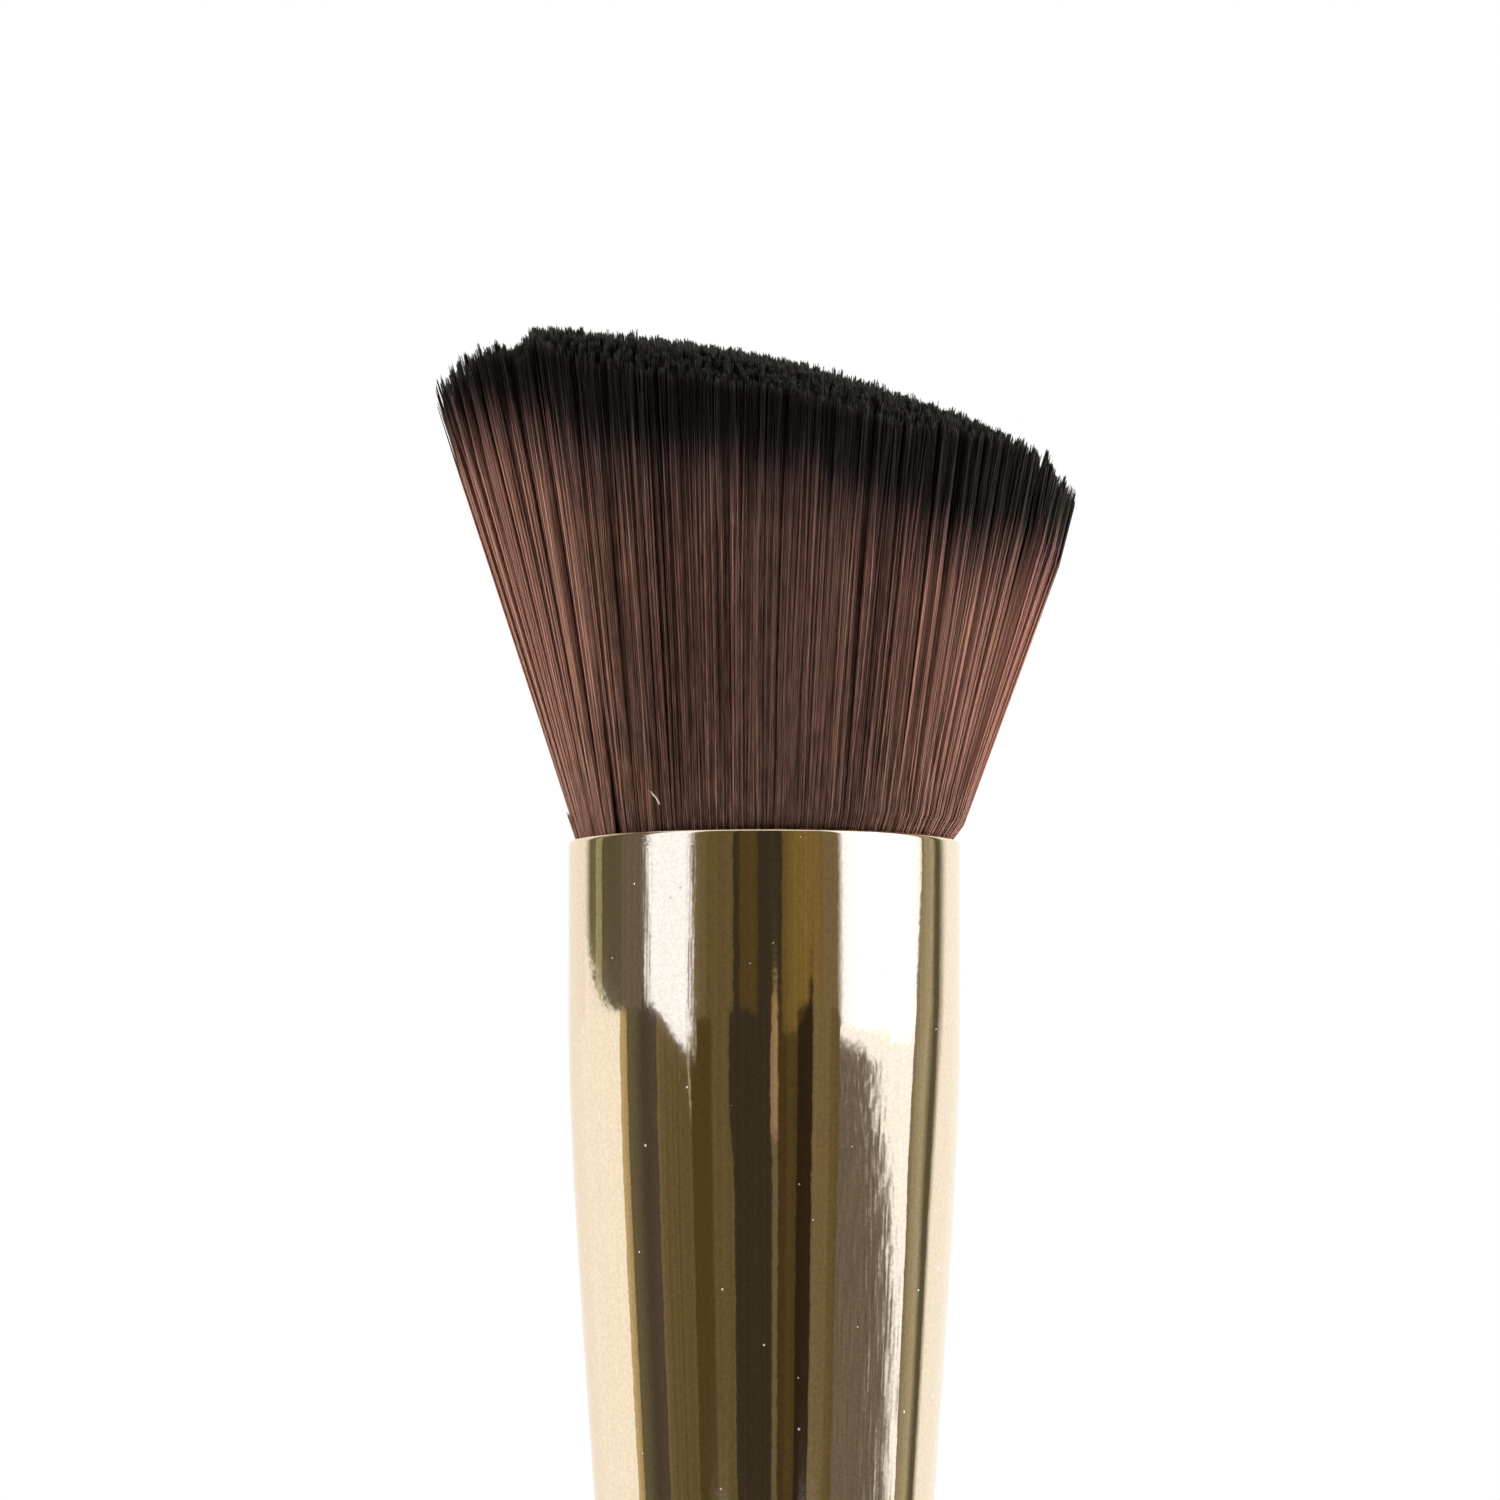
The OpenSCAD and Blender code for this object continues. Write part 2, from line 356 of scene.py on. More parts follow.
@dataclass(frozen=True)
class WoundThread(Finish):
    """Cotton thread in close turns."""

    light: Triple = (0.74, 0.69, 0.58)
    deep: Triple = (0.36, 0.31, 0.24)
    turn_mm: float = 0.35
    fibres: Triple = (1500.0, 1500.0, 6000.0)

    def wire(self, tree: ShaderTree, shader: bpy.types.Node) -> None:
        """Bands one thread wide up the axis, with fine fibres.

        A Wave node's bands are pi tenths of the inverse of its scale apart.
        """
        wave = tree.value(
            "ShaderNodeTexWave",
            {"bands_direction": "Z"},
            {"Vector": tree.place(), "Scale": math.pi / (10.0 * self.turn_mm * MM), "Distortion": 0.6},
        )
        weave = wave * 0.7 + tree.grain(self.fibres) * 0.3
        tree.fill(shader, {
            "Base Color": tree.mix(weave.clamped(), self.deep, self.light),
            "Roughness": 0.85,
            "Normal": tree.bump(wave, 0.8, 0.1),
        })


HAIR = DippedHair("dipped_hair", "bristles")
GOLD = PolishedGold("polished_gold", "gold_metal")
LACQUER = BlackLacquer("black_lacquer", "black_wood")
RESIN = CastResin("root_resin_amber", "resin")
GLUE = CastResin("handle_glue_pale", "glue", (0.62, 0.54, 0.36), (0.78, 0.73, 0.60))
THREAD = WoundThread("wound_thread", "thread")


# Mesh helpers

NO_FACES = np.empty((0, 3), dtype=int)


def turn_angles(count: int) -> np.ndarray:
    """Angles in radians, evenly round a full turn from 0."""
    return np.arange(count) * 2.0 * math.pi / count


def scene_object(name: str, data: bpy.types.ID) -> bpy.types.Object:
    """Puts a mesh, a lamp or a camera into the scene, at the origin."""
    made = bpy.data.objects.new(name, data)
    bpy.context.scene.collection.objects.link(made)
    return made


def mesh_object(name: str, places: np.ndarray, quads: np.ndarray, triangles: np.ndarray) -> bpy.types.Object:
    """Makes a smooth mesh object from arrays.

    Args:
        name: The piece's name.
        places: Vertex places in millimetres, one row each.
        quads: Vertex numbers of the four-sided faces, one row each.
        triangles: Vertex numbers of the three-sided faces, one row each.

    Returns:
        The object, linked to the scene, at the origin.
    """
    mesh = bpy.data.meshes.new(name)
    corners = np.concatenate([quads.ravel(), triangles.ravel()]).astype(np.int32)
    counts = np.concatenate([np.full(len(quads), 4), np.full(len(triangles), 3)]).astype(np.int32)
    starts = (np.cumsum(counts) - counts).astype(np.int32)
    mesh.vertices.add(len(places))
    mesh.vertices.foreach_set("co", (places * MM).astype(np.float32).ravel())
    mesh.loops.add(len(corners))
    mesh.loops.foreach_set("vertex_index", corners)
    mesh.polygons.add(len(counts))
    mesh.polygons.foreach_set("loop_start", starts)
    mesh.polygons.foreach_set("use_smooth", np.ones(len(counts), dtype=bool))
    mesh.update(calc_edges=True)
    return scene_object(name, mesh)


def write_numbers(mesh: bpy.types.Mesh, name: str, numbers: np.ndarray) -> None:
    """Stores one number at each vertex under a name that a material can read."""
    layer = mesh.attributes.new(name, "FLOAT", "POINT")
    layer.data.foreach_set("value", numbers.astype(np.float32).ravel())


def dress(piece: bpy.types.Object, finish: Finish, *nodes: str) -> None:
    """Gives a new piece its finish, its body and the CAD nodes that it stands for.

    Args:
        piece: The piece.
        finish: What it is finished in.
        nodes: The CAD nodes that it replaces.
    """
    piece.data.materials.append(finish.material())
    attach(piece, BODY)
    if nodes:
        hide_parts(*nodes)
    LOG.info("%s: %d faces in %s", piece.name, len(piece.data.polygons), finish.name)


def lathe(name: str, outline: np.ndarray, around: int, sharp_deg: float = 40.0) -> bpy.types.Object:
    """Turns an outline about the Z axis.

    A point (r, z) of the outline goes to (r cos a, r sin a, z) for each angle a. An outline that starts and
    ends on the axis gets one vertex at each pole. Any other outline is a closed loop, as of a sleeve's wall.

    Args:
        name: The piece's name.
        outline: Rows of (radius, height) in millimetres, anticlockwise with the axis on the left.
        around: Number of places round the axis.
        sharp_deg: Faces that meet at more than this angle keep a sharp edge.

    Returns:
        The object.
    """
    poles = outline[0, 0] == 0.0 and outline[-1, 0] == 0.0
    rings = outline[1:-1] if poles else outline
    angle, radius = turn_angles(around), rings[:, :1]
    height = np.broadcast_to(rings[:, 1:], (len(rings), around))
    places = np.stack([radius * np.cos(angle), radius * np.sin(angle), height], axis=-1).reshape(-1, 3)
    row = np.arange(len(rings) - 1 if poles else len(rings))[:, None] * around
    above = (row + around) % (len(rings) * around)
    here, after = np.arange(around), (np.arange(around) + 1) % around
    quads = np.stack([row + here, row + after, above + after, above + here], axis=-1).reshape(-1, 4)
    triangles = NO_FACES
    if poles:
        low, high = len(places), len(places) + 1
        places = np.vstack([places, [[0.0, 0.0, outline[0, 1]], [0.0, 0.0, outline[-1, 1]]]])
        last = (len(rings) - 1) * around
        bottom = np.stack([np.full(around, low), after, here], axis=-1)
        top = np.stack([np.full(around, high), last + here, last + after], axis=-1)
        triangles = np.vstack([bottom, top])
    made = mesh_object(name, places, quads, triangles)
    made.data.set_sharp_from_angle(angle=math.radians(sharp_deg))
    return made


def arc(centre: Pair, radius: float, start_deg: float, end_deg: float, steps: int) -> np.ndarray:
    """Points (r, z) on a circle's arc from one angle to another, both included."""
    angle = np.radians(np.linspace(start_deg, end_deg, steps + 1))
    return np.stack([centre[0] + radius * np.cos(angle), centre[1] + radius * np.sin(angle)], axis=-1)


def ease(along: np.ndarray, start: float = 0.0, width: float = 1.0) -> np.ndarray:
    """Smooth step from 0 at the start to 1 a width further on: three squares less two cubes."""
    t = np.clip((along - start) / width, 0.0, 1.0)
    return t * t * (3.0 - 2.0 * t)


# The brush's turned parts


@dataclass
class Ferrule:
    """The polished sleeve: a straight band, a gently bent cone and two rolled grooves."""

    neck_z: float
    mouth_z: float
    mouth_r: float
    neck_r: float = 8.3
    grip_len: float = 9.0
    bend: float = 0.25
    wall: float = 0.5
    crimp_depth: float = 0.6
    crimp_w: float = 1.6
    crimp_middles: tuple[float, ...] = (3.4, 6.6)
    below_bend: float = 6.0
    above_bend: float = 2.0
    ring_counts: tuple[int, ...] = (75, 40, 40, 10)
    lip_steps: int = 12
    around: int = 288

    def outer_r(self, z: np.ndarray) -> np.ndarray:
        """Outside radius at height z.

        Below the straight band the radius falls along a hyperbola, which starts level and ends as a cone: the
        share fallen at t is (sqrt(t squared plus bend squared) less bend), over its value at t of 1. Each
        groove takes off a raised cosine.
        """
        grip_z = self.mouth_z - self.grip_len
        t = np.clip((grip_z - z) / (grip_z - self.neck_z), 0.0, 1.0)
        fallen = (np.sqrt(t * t + self.bend**2) - self.bend) / (math.sqrt(1.0 + self.bend**2) - self.bend)
        radius = self.mouth_r - (self.mouth_r - self.neck_r) * fallen
        for rise in self.crimp_middles:
            away = np.clip((z - self.neck_z - rise) / self.crimp_w, -0.5, 0.5)
            radius = radius - self.crimp_depth * (1.0 + np.cos(2.0 * math.pi * away)) / 2.0
        return radius

    def heights(self) -> np.ndarray:
        """Heights of the rings: close over the grooves and at the bend, wider over the cone."""
        crimp_top = self.neck_z + max(self.crimp_middles) + self.crimp_w / 2.0
        bend_z = self.mouth_z - self.grip_len
        lip_z = self.mouth_z - self.wall / 2.0
        stops = (self.neck_z, crimp_top, bend_z - self.below_bend, bend_z + self.above_bend, lip_z)
        spans = [
            np.linspace(low, high, count)[:-1]
            for low, high, count in zip(stops, stops[1:], self.ring_counts)
        ]
        return np.append(np.concatenate(spans), lip_z)

    def build(self) -> None:
        """Turns the wall's outline: up the outside, round the lip, down the inside and across the foot."""
        z = self.heights()
        outside = np.stack([self.outer_r(z), z], axis=-1)
        lip = arc((self.mouth_r - self.wall / 2.0, z[-1]), self.wall / 2.0, 0.0, 180.0, self.lip_steps)[1:-1]
        inside = np.stack([self.outer_r(z) - self.wall, z], axis=-1)[::-1]
        piece = lathe("ferrule_sleeve", np.vstack([outside, lip, inside]), self.around)
        dress(piece, GOLD, "ferrule")


@dataclass
class Handle:
    """The turned handle: flat tail, slim waist, and a peg inside the ferrule."""

    ferrule: Ferrule
    tail_r: float = 6.6
    tail_round: float = 1.4
    waist_r: float = 5.8
    waist_z: float = 30.0
    neck_slope: float = 0.0729
    peg_len: float = 19.0
    peg_chamfer: float = 0.8
    fit_gap: float = 0.02
    tail_steps: int = 14
    side_rings: int = 90
    peg_rings: int = 60
    around: int = 192

    def outer_r(self, z: np.ndarray) -> np.ndarray:
        """Radius at height z: a smooth step from tail to waist, then one that ends on the cone's slope.

        To the upper step is added the slope times the span times the cube less the square of the way up.
        """
        span = self.ferrule.neck_z - self.waist_z
        t = (z - self.waist_z) / span
        lower = self.tail_r + (self.waist_r - self.tail_r) * ease(z / self.waist_z)
        upper = self.waist_r + (self.ferrule.neck_r - self.waist_r) * ease(t)
        upper = upper + self.neck_slope * span * (t**3 - t**2)
        return np.where(z < self.waist_z, lower, upper)

    def build(self) -> None:
        """Turns the outline from the tail's middle, up the outside and over the peg, to the axis."""
        neck_z = self.ferrule.neck_z
        edge_r = float(self.outer_r(np.array([self.tail_round]))[0])
        middle = (edge_r - self.tail_round, self.tail_round)
        tail = arc(middle, self.tail_round, -90.0, 0.0, self.tail_steps)[:-1]
        z = np.linspace(self.tail_round, neck_z, self.side_rings)
        side = np.stack([self.outer_r(z), z], axis=-1)
        peg_r = self.ferrule.neck_r - self.ferrule.wall - self.fit_gap
        peg_z = np.linspace(neck_z, neck_z + self.peg_len - self.peg_chamfer, self.peg_rings)
        pressed = self.ferrule.outer_r(peg_z) - self.ferrule.wall - self.fit_gap
        peg = np.stack([np.minimum(peg_r, pressed), peg_z], axis=-1)
        end_z = neck_z + self.peg_len
        end = np.array([[peg_r - self.peg_chamfer, end_z], [0.0, end_z]])
        outline = np.vstack([[[0.0, 0.0]], tail, side, peg, end])
        piece = lathe("handle_turning", outline, self.around)
        dress(piece, LACQUER, "handle")


# The bristle head

GOLDEN_DEG = 137.508
LOCK_SKEW = np.array([[1.0, 0.31], [-0.24, 1.0]])
UNDYED_MM = 20.0
BORE_GAP = 0.05


class Layer(Enum):
    """Where a group of hairs stands in the head."""

    SHELL = "shell"
    CORE = "core"


@dataclass
class HairGroup:
    """How one group of hairs is spread between two shares of the bore's radius, and how fine it is.

    A level above 0 is a share of the way from the mouth to the tip, and one below 0 of the sunk root.
    """

    layer: Layer
    pieces: int
    per_piece: int
    levels: tuple[float, ...]
    root_r: float
    inner: float
    outer: float


@dataclass
class Cut:
    """The slanted, rounded top that the hairs are trimmed to, as heights above the mouth."""

    height: float = 27.27
    high_x: float = -12.3
    low_x: float = 16.4
    slant: float = 1.7
    droop: float = 5.4
    corner: float = 1.3
    corner_power: float = 12.0
    step: float = 0.75
    tuft: float = 0.9
    tuft_end: float = 2.1
    tuft_w: float = 5.7
    step_w: float = 0.08
    tuft_turn: Pair = (0.62, 0.40)
    rim_u: tuple[float, ...] = (-0.90, -0.74, -0.50, 0.0, 0.5, 0.75, 0.9)
    rim_drop: tuple[float, ...] = (0.6, 2.4, 2.8, 2.7, 2.6, 1.5, 0.3)
    rim_power: float = 5.0
    dye_depth: float = 6.4
    dye_top: float = 23.0
    dye_turn: float = -9.0
    dye_rise: float = 0.45
    dye_lift_x: float = 10.5
    dye_lift: float = 0.60
    dye_dip_x: float = -6.2
    dye_dip_w: float = 2.6
    dye_dip: float = 0.8

    def fall(self, x: np.ndarray) -> np.ndarray:
        """How far the cut has fallen at x from its highest point towards +X.

        That is a share, its square and a high power of the way along.
        """
        way = np.clip((x - self.high_x) / (self.low_x - self.high_x), 0.0, 1.03)
        return self.slant * way + self.droop * way**2 + self.corner * way**self.corner_power

    def top(self, x: np.ndarray, seat: np.ndarray) -> np.ndarray:
        """Height of the cut at x across the head, for hairs from these seats.

        On the high side of a small step the cut falls towards the high corner, most at its end. It also
        drops at the front and back rims, by an amount that changes along u, times a power of the hair's
        share of the way out to the rim.
        """
        u, v = seat[:, 0], seat[:, 1]
        out = np.abs(v) / np.sqrt(np.maximum(1.0 - u * u, 0.01))
        left = np.clip((self.high_x - x) / self.tuft_w, 0.0, 1.1)
        tuft = self.step * ease(left, 0.0, self.step_w) + self.tuft * left
        tuft = tuft + self.tuft_end * ease(left, *self.tuft_turn)
        rim = np.interp(u, self.rim_u, self.rim_drop) * np.minimum(out, 1.0) ** self.rim_power
        return self.height - self.fall(x) - tuft - rim

    def dye_edge(self, x: np.ndarray) -> np.ndarray:
        """Height of the dye's lower edge at x.

        It runs a set depth below the cut, rises evenly near both corners, dips beside the crease, and stays
        below the dye's top.
        """
        rise = self.dye_rise * np.maximum(self.dye_turn - x, 0.0)
        rise = rise + self.dye_lift * np.maximum(x - self.dye_lift_x, 0.0)
        rise = rise - self.dye_dip * np.exp(-((x - self.dye_dip_x) / self.dye_dip_w) ** 2)
        return np.minimum(self.height - self.fall(x) - self.dye_depth + rise, self.dye_top)


@dataclass
class Strays:
    """The hairs that leave the head: a short tuft bent out over the lip at the high side, and one pale hair.

    Each hair runs between two places, given as X, Y and height above the mouth. The tuft's hairs stand side
    by side, half its width to each side of its places, and its two ends curve towards the axis.
    """

    count: int = 14
    tuft_low: Triple = (-9.93, 0.0, -0.8)
    tuft_high: Triple = (-10.62, 0.0, 1.6)
    half_w: Pair = (1.1, 1.2)
    curve: Pair = (0.10, 0.14)
    ragged: float = 0.05
    tuft_shade: float = 0.35
    tuft_r: float = 0.045
    pale_low: Triple = (-5.55, -10.75, 1.22)
    pale_high: Triple = (-6.10, -10.95, 1.95)
    pale_shade: float = 1.6
    pale_r: float = 0.06
    points: int = 5
    lean_power: float = 1.5

    def paths(self, rng: np.random.Generator, mouth_z: float) -> dict[str, np.ndarray]:
        """Lays out the hairs, as BristleHead.paths does.

        The way along X is a power of the way up, so a hair starts steeply and leans out.
        """
        spread = np.linspace(-1.0, 1.0, self.count)[:, None]
        low, high = (
            np.array([place]) + spread * np.array([[0.0, half, 0.0]])
            for place, half in zip((self.tuft_low, self.tuft_high), self.half_w)
        )
        low[:, 0] += self.curve[0] * spread[:, 0] ** 2
        high[:, 0] += self.curve[1] * spread[:, 0] ** 2
        high = high + rng.normal(0.0, self.ragged, high.shape)
        low, high = np.vstack([low, [self.pale_low]]), np.vstack([high, [self.pale_high]])
        share = np.linspace(0.0, 1.0, self.points)
        line = low[:, None] + (high - low)[:, None] * share[None, :, None]
        line[:, :, 0] = low[:, :1] + (high - low)[:, :1] * share**self.lean_power
        size = (self.count + 1, self.points)
        tuft = np.arange(self.count + 1)[:, None] < self.count
        return {
            "centre": line + np.array([0.0, 0.0, mouth_z]),
            "radius": np.broadcast_to(np.where(tuft, self.tuft_r, self.pale_r), size),
            "from_tip": np.linalg.norm(high - low, axis=1)[:, None] * (1.0 - share),
            "undyed": np.full(size, UNDYED_MM),
            "shade": np.broadcast_to(np.where(tuft, self.tuft_shade, self.pale_shade), size),
            "dip": np.full(self.count + 1, 0.4),
            "turn": rng.random(self.count + 1) * 2.0 * math.pi,
        }


@dataclass
class BristleHead:
    """Fine hairs that fan out of the mouth in locks, cut to a slanted top with rounded ends.

    A pair of heights, or of shares of the bore's radius, is where a change starts and how far it takes. The
    pairs sway, bow and shade_spread are for a whole lock and for a single hair.
    """

    mouth_z: float
    bore_r: float
    cut: Cut = field(default_factory=Cut)
    seed: int = 7
    seat_shake: float = 0.02
    lock_w: float = 0.031
    lock_point: float = 0.24
    lock_reach: float = 0.6
    lock_limit: float = 1.5
    centre_slope: float = 0.15
    side_slope: float = 0.20
    lean: float = 0.02
    depth_slope: float = 0.27
    corner_slope: float = 0.45
    side_power: float = 8.0
    edge_power: float = 10.0
    swell: float = 0.19
    swell_lean: float = 1.1
    swell_rise: Pair = (-0.2, 1.3)
    low_bend: float = 0.40
    low_bend_rise: Pair = (14.5, 5.0)
    sunk: float = 3.0
    tip_len: float = 0.10
    clump: float = 0.34
    clump_rise: Pair = (0.0, 5.0)
    tip_clump: float = 0.36
    tip_clump_len: float = 3.0
    crease_u: float = -0.79
    crease_w: float = 0.055
    crease_depth: float = 0.7
    crease_rise: Pair = (-1.0, 1.0)
    crease_fade: Pair = (4.0, 16.0)
    ragged: float = 0.09
    ragged_side: float = 0.26
    short: float = 0.06
    short_side: float = 0.3
    cut_rounds: int = 6
    first_drop: float = 5.0
    calm: float = 0.88
    wild_share: float = 0.03
    wild_gain: float = 3.0
    sway: Pair = (0.13, 0.09)
    bow: Pair = (0.07, 0.07)
    tip_r: float = 0.45
    taper: Pair = (-0.2, 4.0)
    shade: float = 0.46
    shade_spread: Pair = (0.10, 0.20)
    shade_limits: Pair = (0.02, 1.3)
    pale_share: float = 0.05
    pale_tone: float = 0.45
    # Painted light: hairs past the crease and on the side towards +X are made paler, as if lit from the
    # sides.
    painted_side_light: float = 0.46
    painted_side_light_from: Pair = (0.45, 0.4)
    # Painted rim light at both outer edges of the head.
    painted_rim_light: float = 0.22
    painted_rim_light_from: Pair = (0.86, 0.12)
    # Painted shade on the front just inside the crease.
    crease_shade_u: float = -0.50
    crease_shade_w: float = 0.20
    painted_crease_shade: float = -0.28
    # Painted shade near the mouth, from the middle of the head out to its sides.
    painted_root_shade_middle: float = 0.30
    painted_root_shade_side: float = 0.60
    painted_root_shade_from: Pair = (0.4, 0.4)
    painted_root_shade_rise: Pair = (0.0, 8.0)
    deep_dip_share: float = 0.04
    disc_depths: Pair = (9.0, 6.0)
    disc_fit: float = 0.03
    thread_t: float = 0.6
    root_around: int = 96
    root_shade: float = 0.2

    def seats(self, rng: np.random.Generator, group: HairGroup) -> np.ndarray:
        """Spreads hairs evenly over a ring or disc on a shaken golden-angle spiral.

        Args:
            rng: The random numbers.
            group: The hairs to spread.

        Returns:
            Their places (u, v) as shares of the bore's radius, one row each.
        """
        count = group.pieces * group.per_piece
        share = (np.arange(count) + rng.random(count)) / count
        radius = np.sqrt(group.inner**2 + (group.outer**2 - group.inner**2) * share)
        turn = np.arange(count) * math.radians(GOLDEN_DEG) + rng.normal(0.0, self.seat_shake, count)
        return np.stack([radius * np.cos(turn), radius * np.sin(turn)], axis=-1)

    def locks(self, seat: np.ndarray) -> tuple[np.ndarray, np.ndarray]:
        """Gathers neighbouring hairs into locks on a skewed grid.

        Args:
            seat: The hairs' places in the mouth.

        Returns:
            The number of each hair's lock, and the middle of that lock.
        """
        skewed = seat @ LOCK_SKEW
        cell = np.floor(skewed / self.lock_w).astype(int)
        _, lock = np.unique(cell, axis=0, return_inverse=True)
        lock = lock.ravel()
        members = np.bincount(lock)
        sums = np.stack([np.bincount(lock, weights=seat[:, axis]) for axis in (0, 1)], axis=-1)
        return lock, (sums / members[:, None])[lock]

    def slopes(self, seat: np.ndarray) -> np.ndarray:
        """Sideways travel per millimetre of height, along X and Y.

        Hairs in the middle stand nearly upright, and those at the two sides lean out: the slope along X is a
        share of u plus a share of its high power, and the slope along Y is a share of v that grows likewise
        towards the sides.
        """
        u, v = seat[:, 0], seat[:, 1]
        side = np.abs(u) ** self.side_power
        along = self.centre_slope * u + self.side_slope * side * np.sign(u) + self.lean
        across = v * (self.depth_slope + self.corner_slope * side)
        return np.stack([along, across], axis=-1)

    def course(self, seat: np.ndarray, high: np.ndarray) -> np.ndarray:
        """Where hairs from these seats are, across the head, at heights above the mouth.

        A hair goes up from its seat by its slopes. The outer hairs also swell over the ferrule's lip, and
        those at the low end bend up again near their tips. On the front, hairs just inside the crease sink
        by a depth that dies away from it and towards the tips, so the side's locks overlap the front's.
        """
        u, v = seat[:, :1], seat[:, 1:]
        reach = np.linalg.norm(seat, axis=1)[:, None]
        flat = seat[:, None, :] * self.bore_r + self.slopes(seat)[:, None, :] * high[:, :, None]
        swell = self.swell * (1.0 + self.swell_lean * u) * reach**self.side_power
        flat = flat + seat[:, None, :] * (swell * ease(high, *self.swell_rise))[:, :, None]
        low_side = np.clip(u, 0.0, 1.0) ** self.side_power
        flat[:, :, 0] -= self.low_bend * low_side * ease(high, *self.low_bend_rise)
        beside = (u - self.crease_u) / self.crease_w
        inside = (beside > 0.0) & (v < 0.0)
        sink = self.crease_depth * np.exp(-np.maximum(beside, 0.0)) * inside
        flat[:, :, 1] += sink * (1.0 - ease(high, *self.crease_fade)) * ease(high, *self.crease_rise)
        return flat

    def tips(self, rng: np.random.Generator, seat: np.ndarray, lock: np.ndarray) -> np.ndarray:
        """Height of each hair's tip above the mouth.

        The height and the place where the hair meets the cut depend on each other, so they are found in a few
        rounds, each halfway to the next answer. Each lock and each hair then differs by a small amount of its
        own, more at the corners.
        """
        slope = self.slopes(seat)[:, 0]
        top = np.full(len(seat), self.cut.height - self.first_drop)
        for _ in range(self.cut_rounds):
            across = seat[:, 0] * self.bore_r + slope * top
            top = 0.5 * top + 0.5 * self.cut.top(across, seat)
        ragged = self.ragged + self.ragged_side * np.abs(seat[:, 0]) ** self.edge_power
        of_lock = rng.normal(0.0, 1.0, lock.max() + 1)[lock]
        own = np.abs(rng.normal(0.0, 1.0, len(seat)))
        return top + ragged * of_lock - (self.short + self.short_side * ragged) * own

    def wander(
        self, rng: np.random.Generator, seat: np.ndarray, lock: np.ndarray, rise: np.ndarray
    ) -> np.ndarray:
        """How far hairs leave their course by themselves, across the head.

        The sway grows with the share of the way up, and the bow is a half sine of it. A hair has its lock's
        amounts and its own, which are larger on a few wild hairs. The hairs at both sides stay calmer.
        """
        calm = 1.0 - self.calm * np.abs(seat[:, :1, None]) ** self.edge_power
        wild = np.where(rng.random((len(seat), 1, 1)) < self.wild_share, self.wild_gain, 1.0)
        of_locks, of_hairs = (lock.max() + 1, 1, 2), (len(seat), 1, 2)
        sway, bow = (
            rng.normal(0.0, shared, of_locks)[lock] + rng.normal(0.0, own, of_hairs) * wild
            for shared, own in (self.sway, self.bow)
        )
        return calm * (sway * rise + bow * np.sin(math.pi * rise))

    def shades(
        self, rng: np.random.Generator, seat: np.ndarray, lock: np.ndarray, high: np.ndarray
    ) -> np.ndarray:
        """Each hair's shade at each of its heights.

        A hair has its lock's shade and its own, and a few are paler. Painted light makes the sides paler,
        most at their edges as painted rim light, and painted shade darkens hairs just inside the crease.
        Painted shade also darkens all hairs near the mouth, most at the sides.
        """
        u, count = seat[:, 0], len(seat)
        of_lock, own = self.shade_spread
        tone = rng.normal(self.shade, own, count) + of_lock * rng.normal(0.0, 1.0, lock.max() + 1)[lock]
        tone = tone + self.pale_tone * (rng.random(count) < self.pale_share)
        # Painted shade on the front just inside the crease.
        beside = self.painted_crease_shade * np.exp(-(((u - self.crease_shade_u) / self.crease_shade_w) ** 2))
        # Painted light on the side past the crease and on the side towards +X.
        low_side = self.painted_side_light * ease(u, *self.painted_side_light_from)
        tone = tone + np.where(u < self.crease_u, self.painted_side_light, low_side + beside)
        # Painted rim light at both edges.
        tone = tone + self.painted_rim_light * ease(np.abs(u), *self.painted_rim_light_from)
        # Painted shade near the mouth, deeper at the sides.
        painted_root_shade = self.painted_root_shade_middle + (self.painted_root_shade_side - self.painted_root_shade_middle) * ease(np.abs(u), *self.painted_root_shade_from)
        lit = ease(high, *self.painted_root_shade_rise)
        return np.clip(tone, *self.shade_limits)[:, None] * (1.0 - painted_root_shade[:, None] * (1.0 - lit))

    def paths(self, rng: np.random.Generator, group: HairGroup) -> dict[str, np.ndarray]:
        """Lays out every hair of a group.

        Each hair follows its course, but its distance from its lock's middle shrinks above the mouth and
        again near the tip, and the lock's outer hairs are a little shorter, so every lock ends in a point.
        The dye creeps furthest down a few hairs, which have a dip above 1.

        Args:
            rng: The random numbers.
            group: The hairs to lay out.

        Returns:
            Centre lines, radii, distances from the tip and from the dye's edge, shades, dips and turns.
        """
        seat = self.seats(rng, group)
        lock, middle = self.locks(seat)
        out = np.linalg.norm(seat - middle, axis=1) / (self.lock_reach * self.lock_w)
        tip = self.tips(rng, seat, lock) - self.lock_point * np.minimum(out, self.lock_limit) ** 2
        level = np.array(group.levels)[None]
        stem = level * np.where(level > 0.0, tip[:, None], self.sunk)
        high = np.column_stack([stem, tip - self.tip_len, tip])
        from_tip = tip[:, None] - high
        shut = self.clump * ease(high, *self.clump_rise)
        shut = shut + self.tip_clump * ease(1.0 - from_tip / self.tip_clump_len)
        own, shared = self.course(seat, high), self.course(middle, high)
        flat = own + (shared - own) * shut[:, :, None]
        flat = flat + self.wander(rng, seat, lock, np.clip(high / tip[:, None], 0.0, 1.0)[:, :, None])
        shade = self.shades(rng, seat, lock, high)
        deep = rng.random(len(seat)) < self.deep_dip_share
        return {
            "centre": np.concatenate([flat, (self.mouth_z + high)[:, :, None]], axis=-1),
            "radius": group.root_r * (self.tip_r + (1.0 - self.tip_r) * ease(from_tip, *self.taper)),
            "from_tip": from_tip,
            "undyed": self.cut.dye_edge(flat[:, :, 0]) - high,
            "shade": shade,
            "dip": np.where(deep, 1.0 + rng.random(len(seat)), rng.random(len(seat))),
            "turn": rng.random(len(seat)) * 2.0 * math.pi,
        }

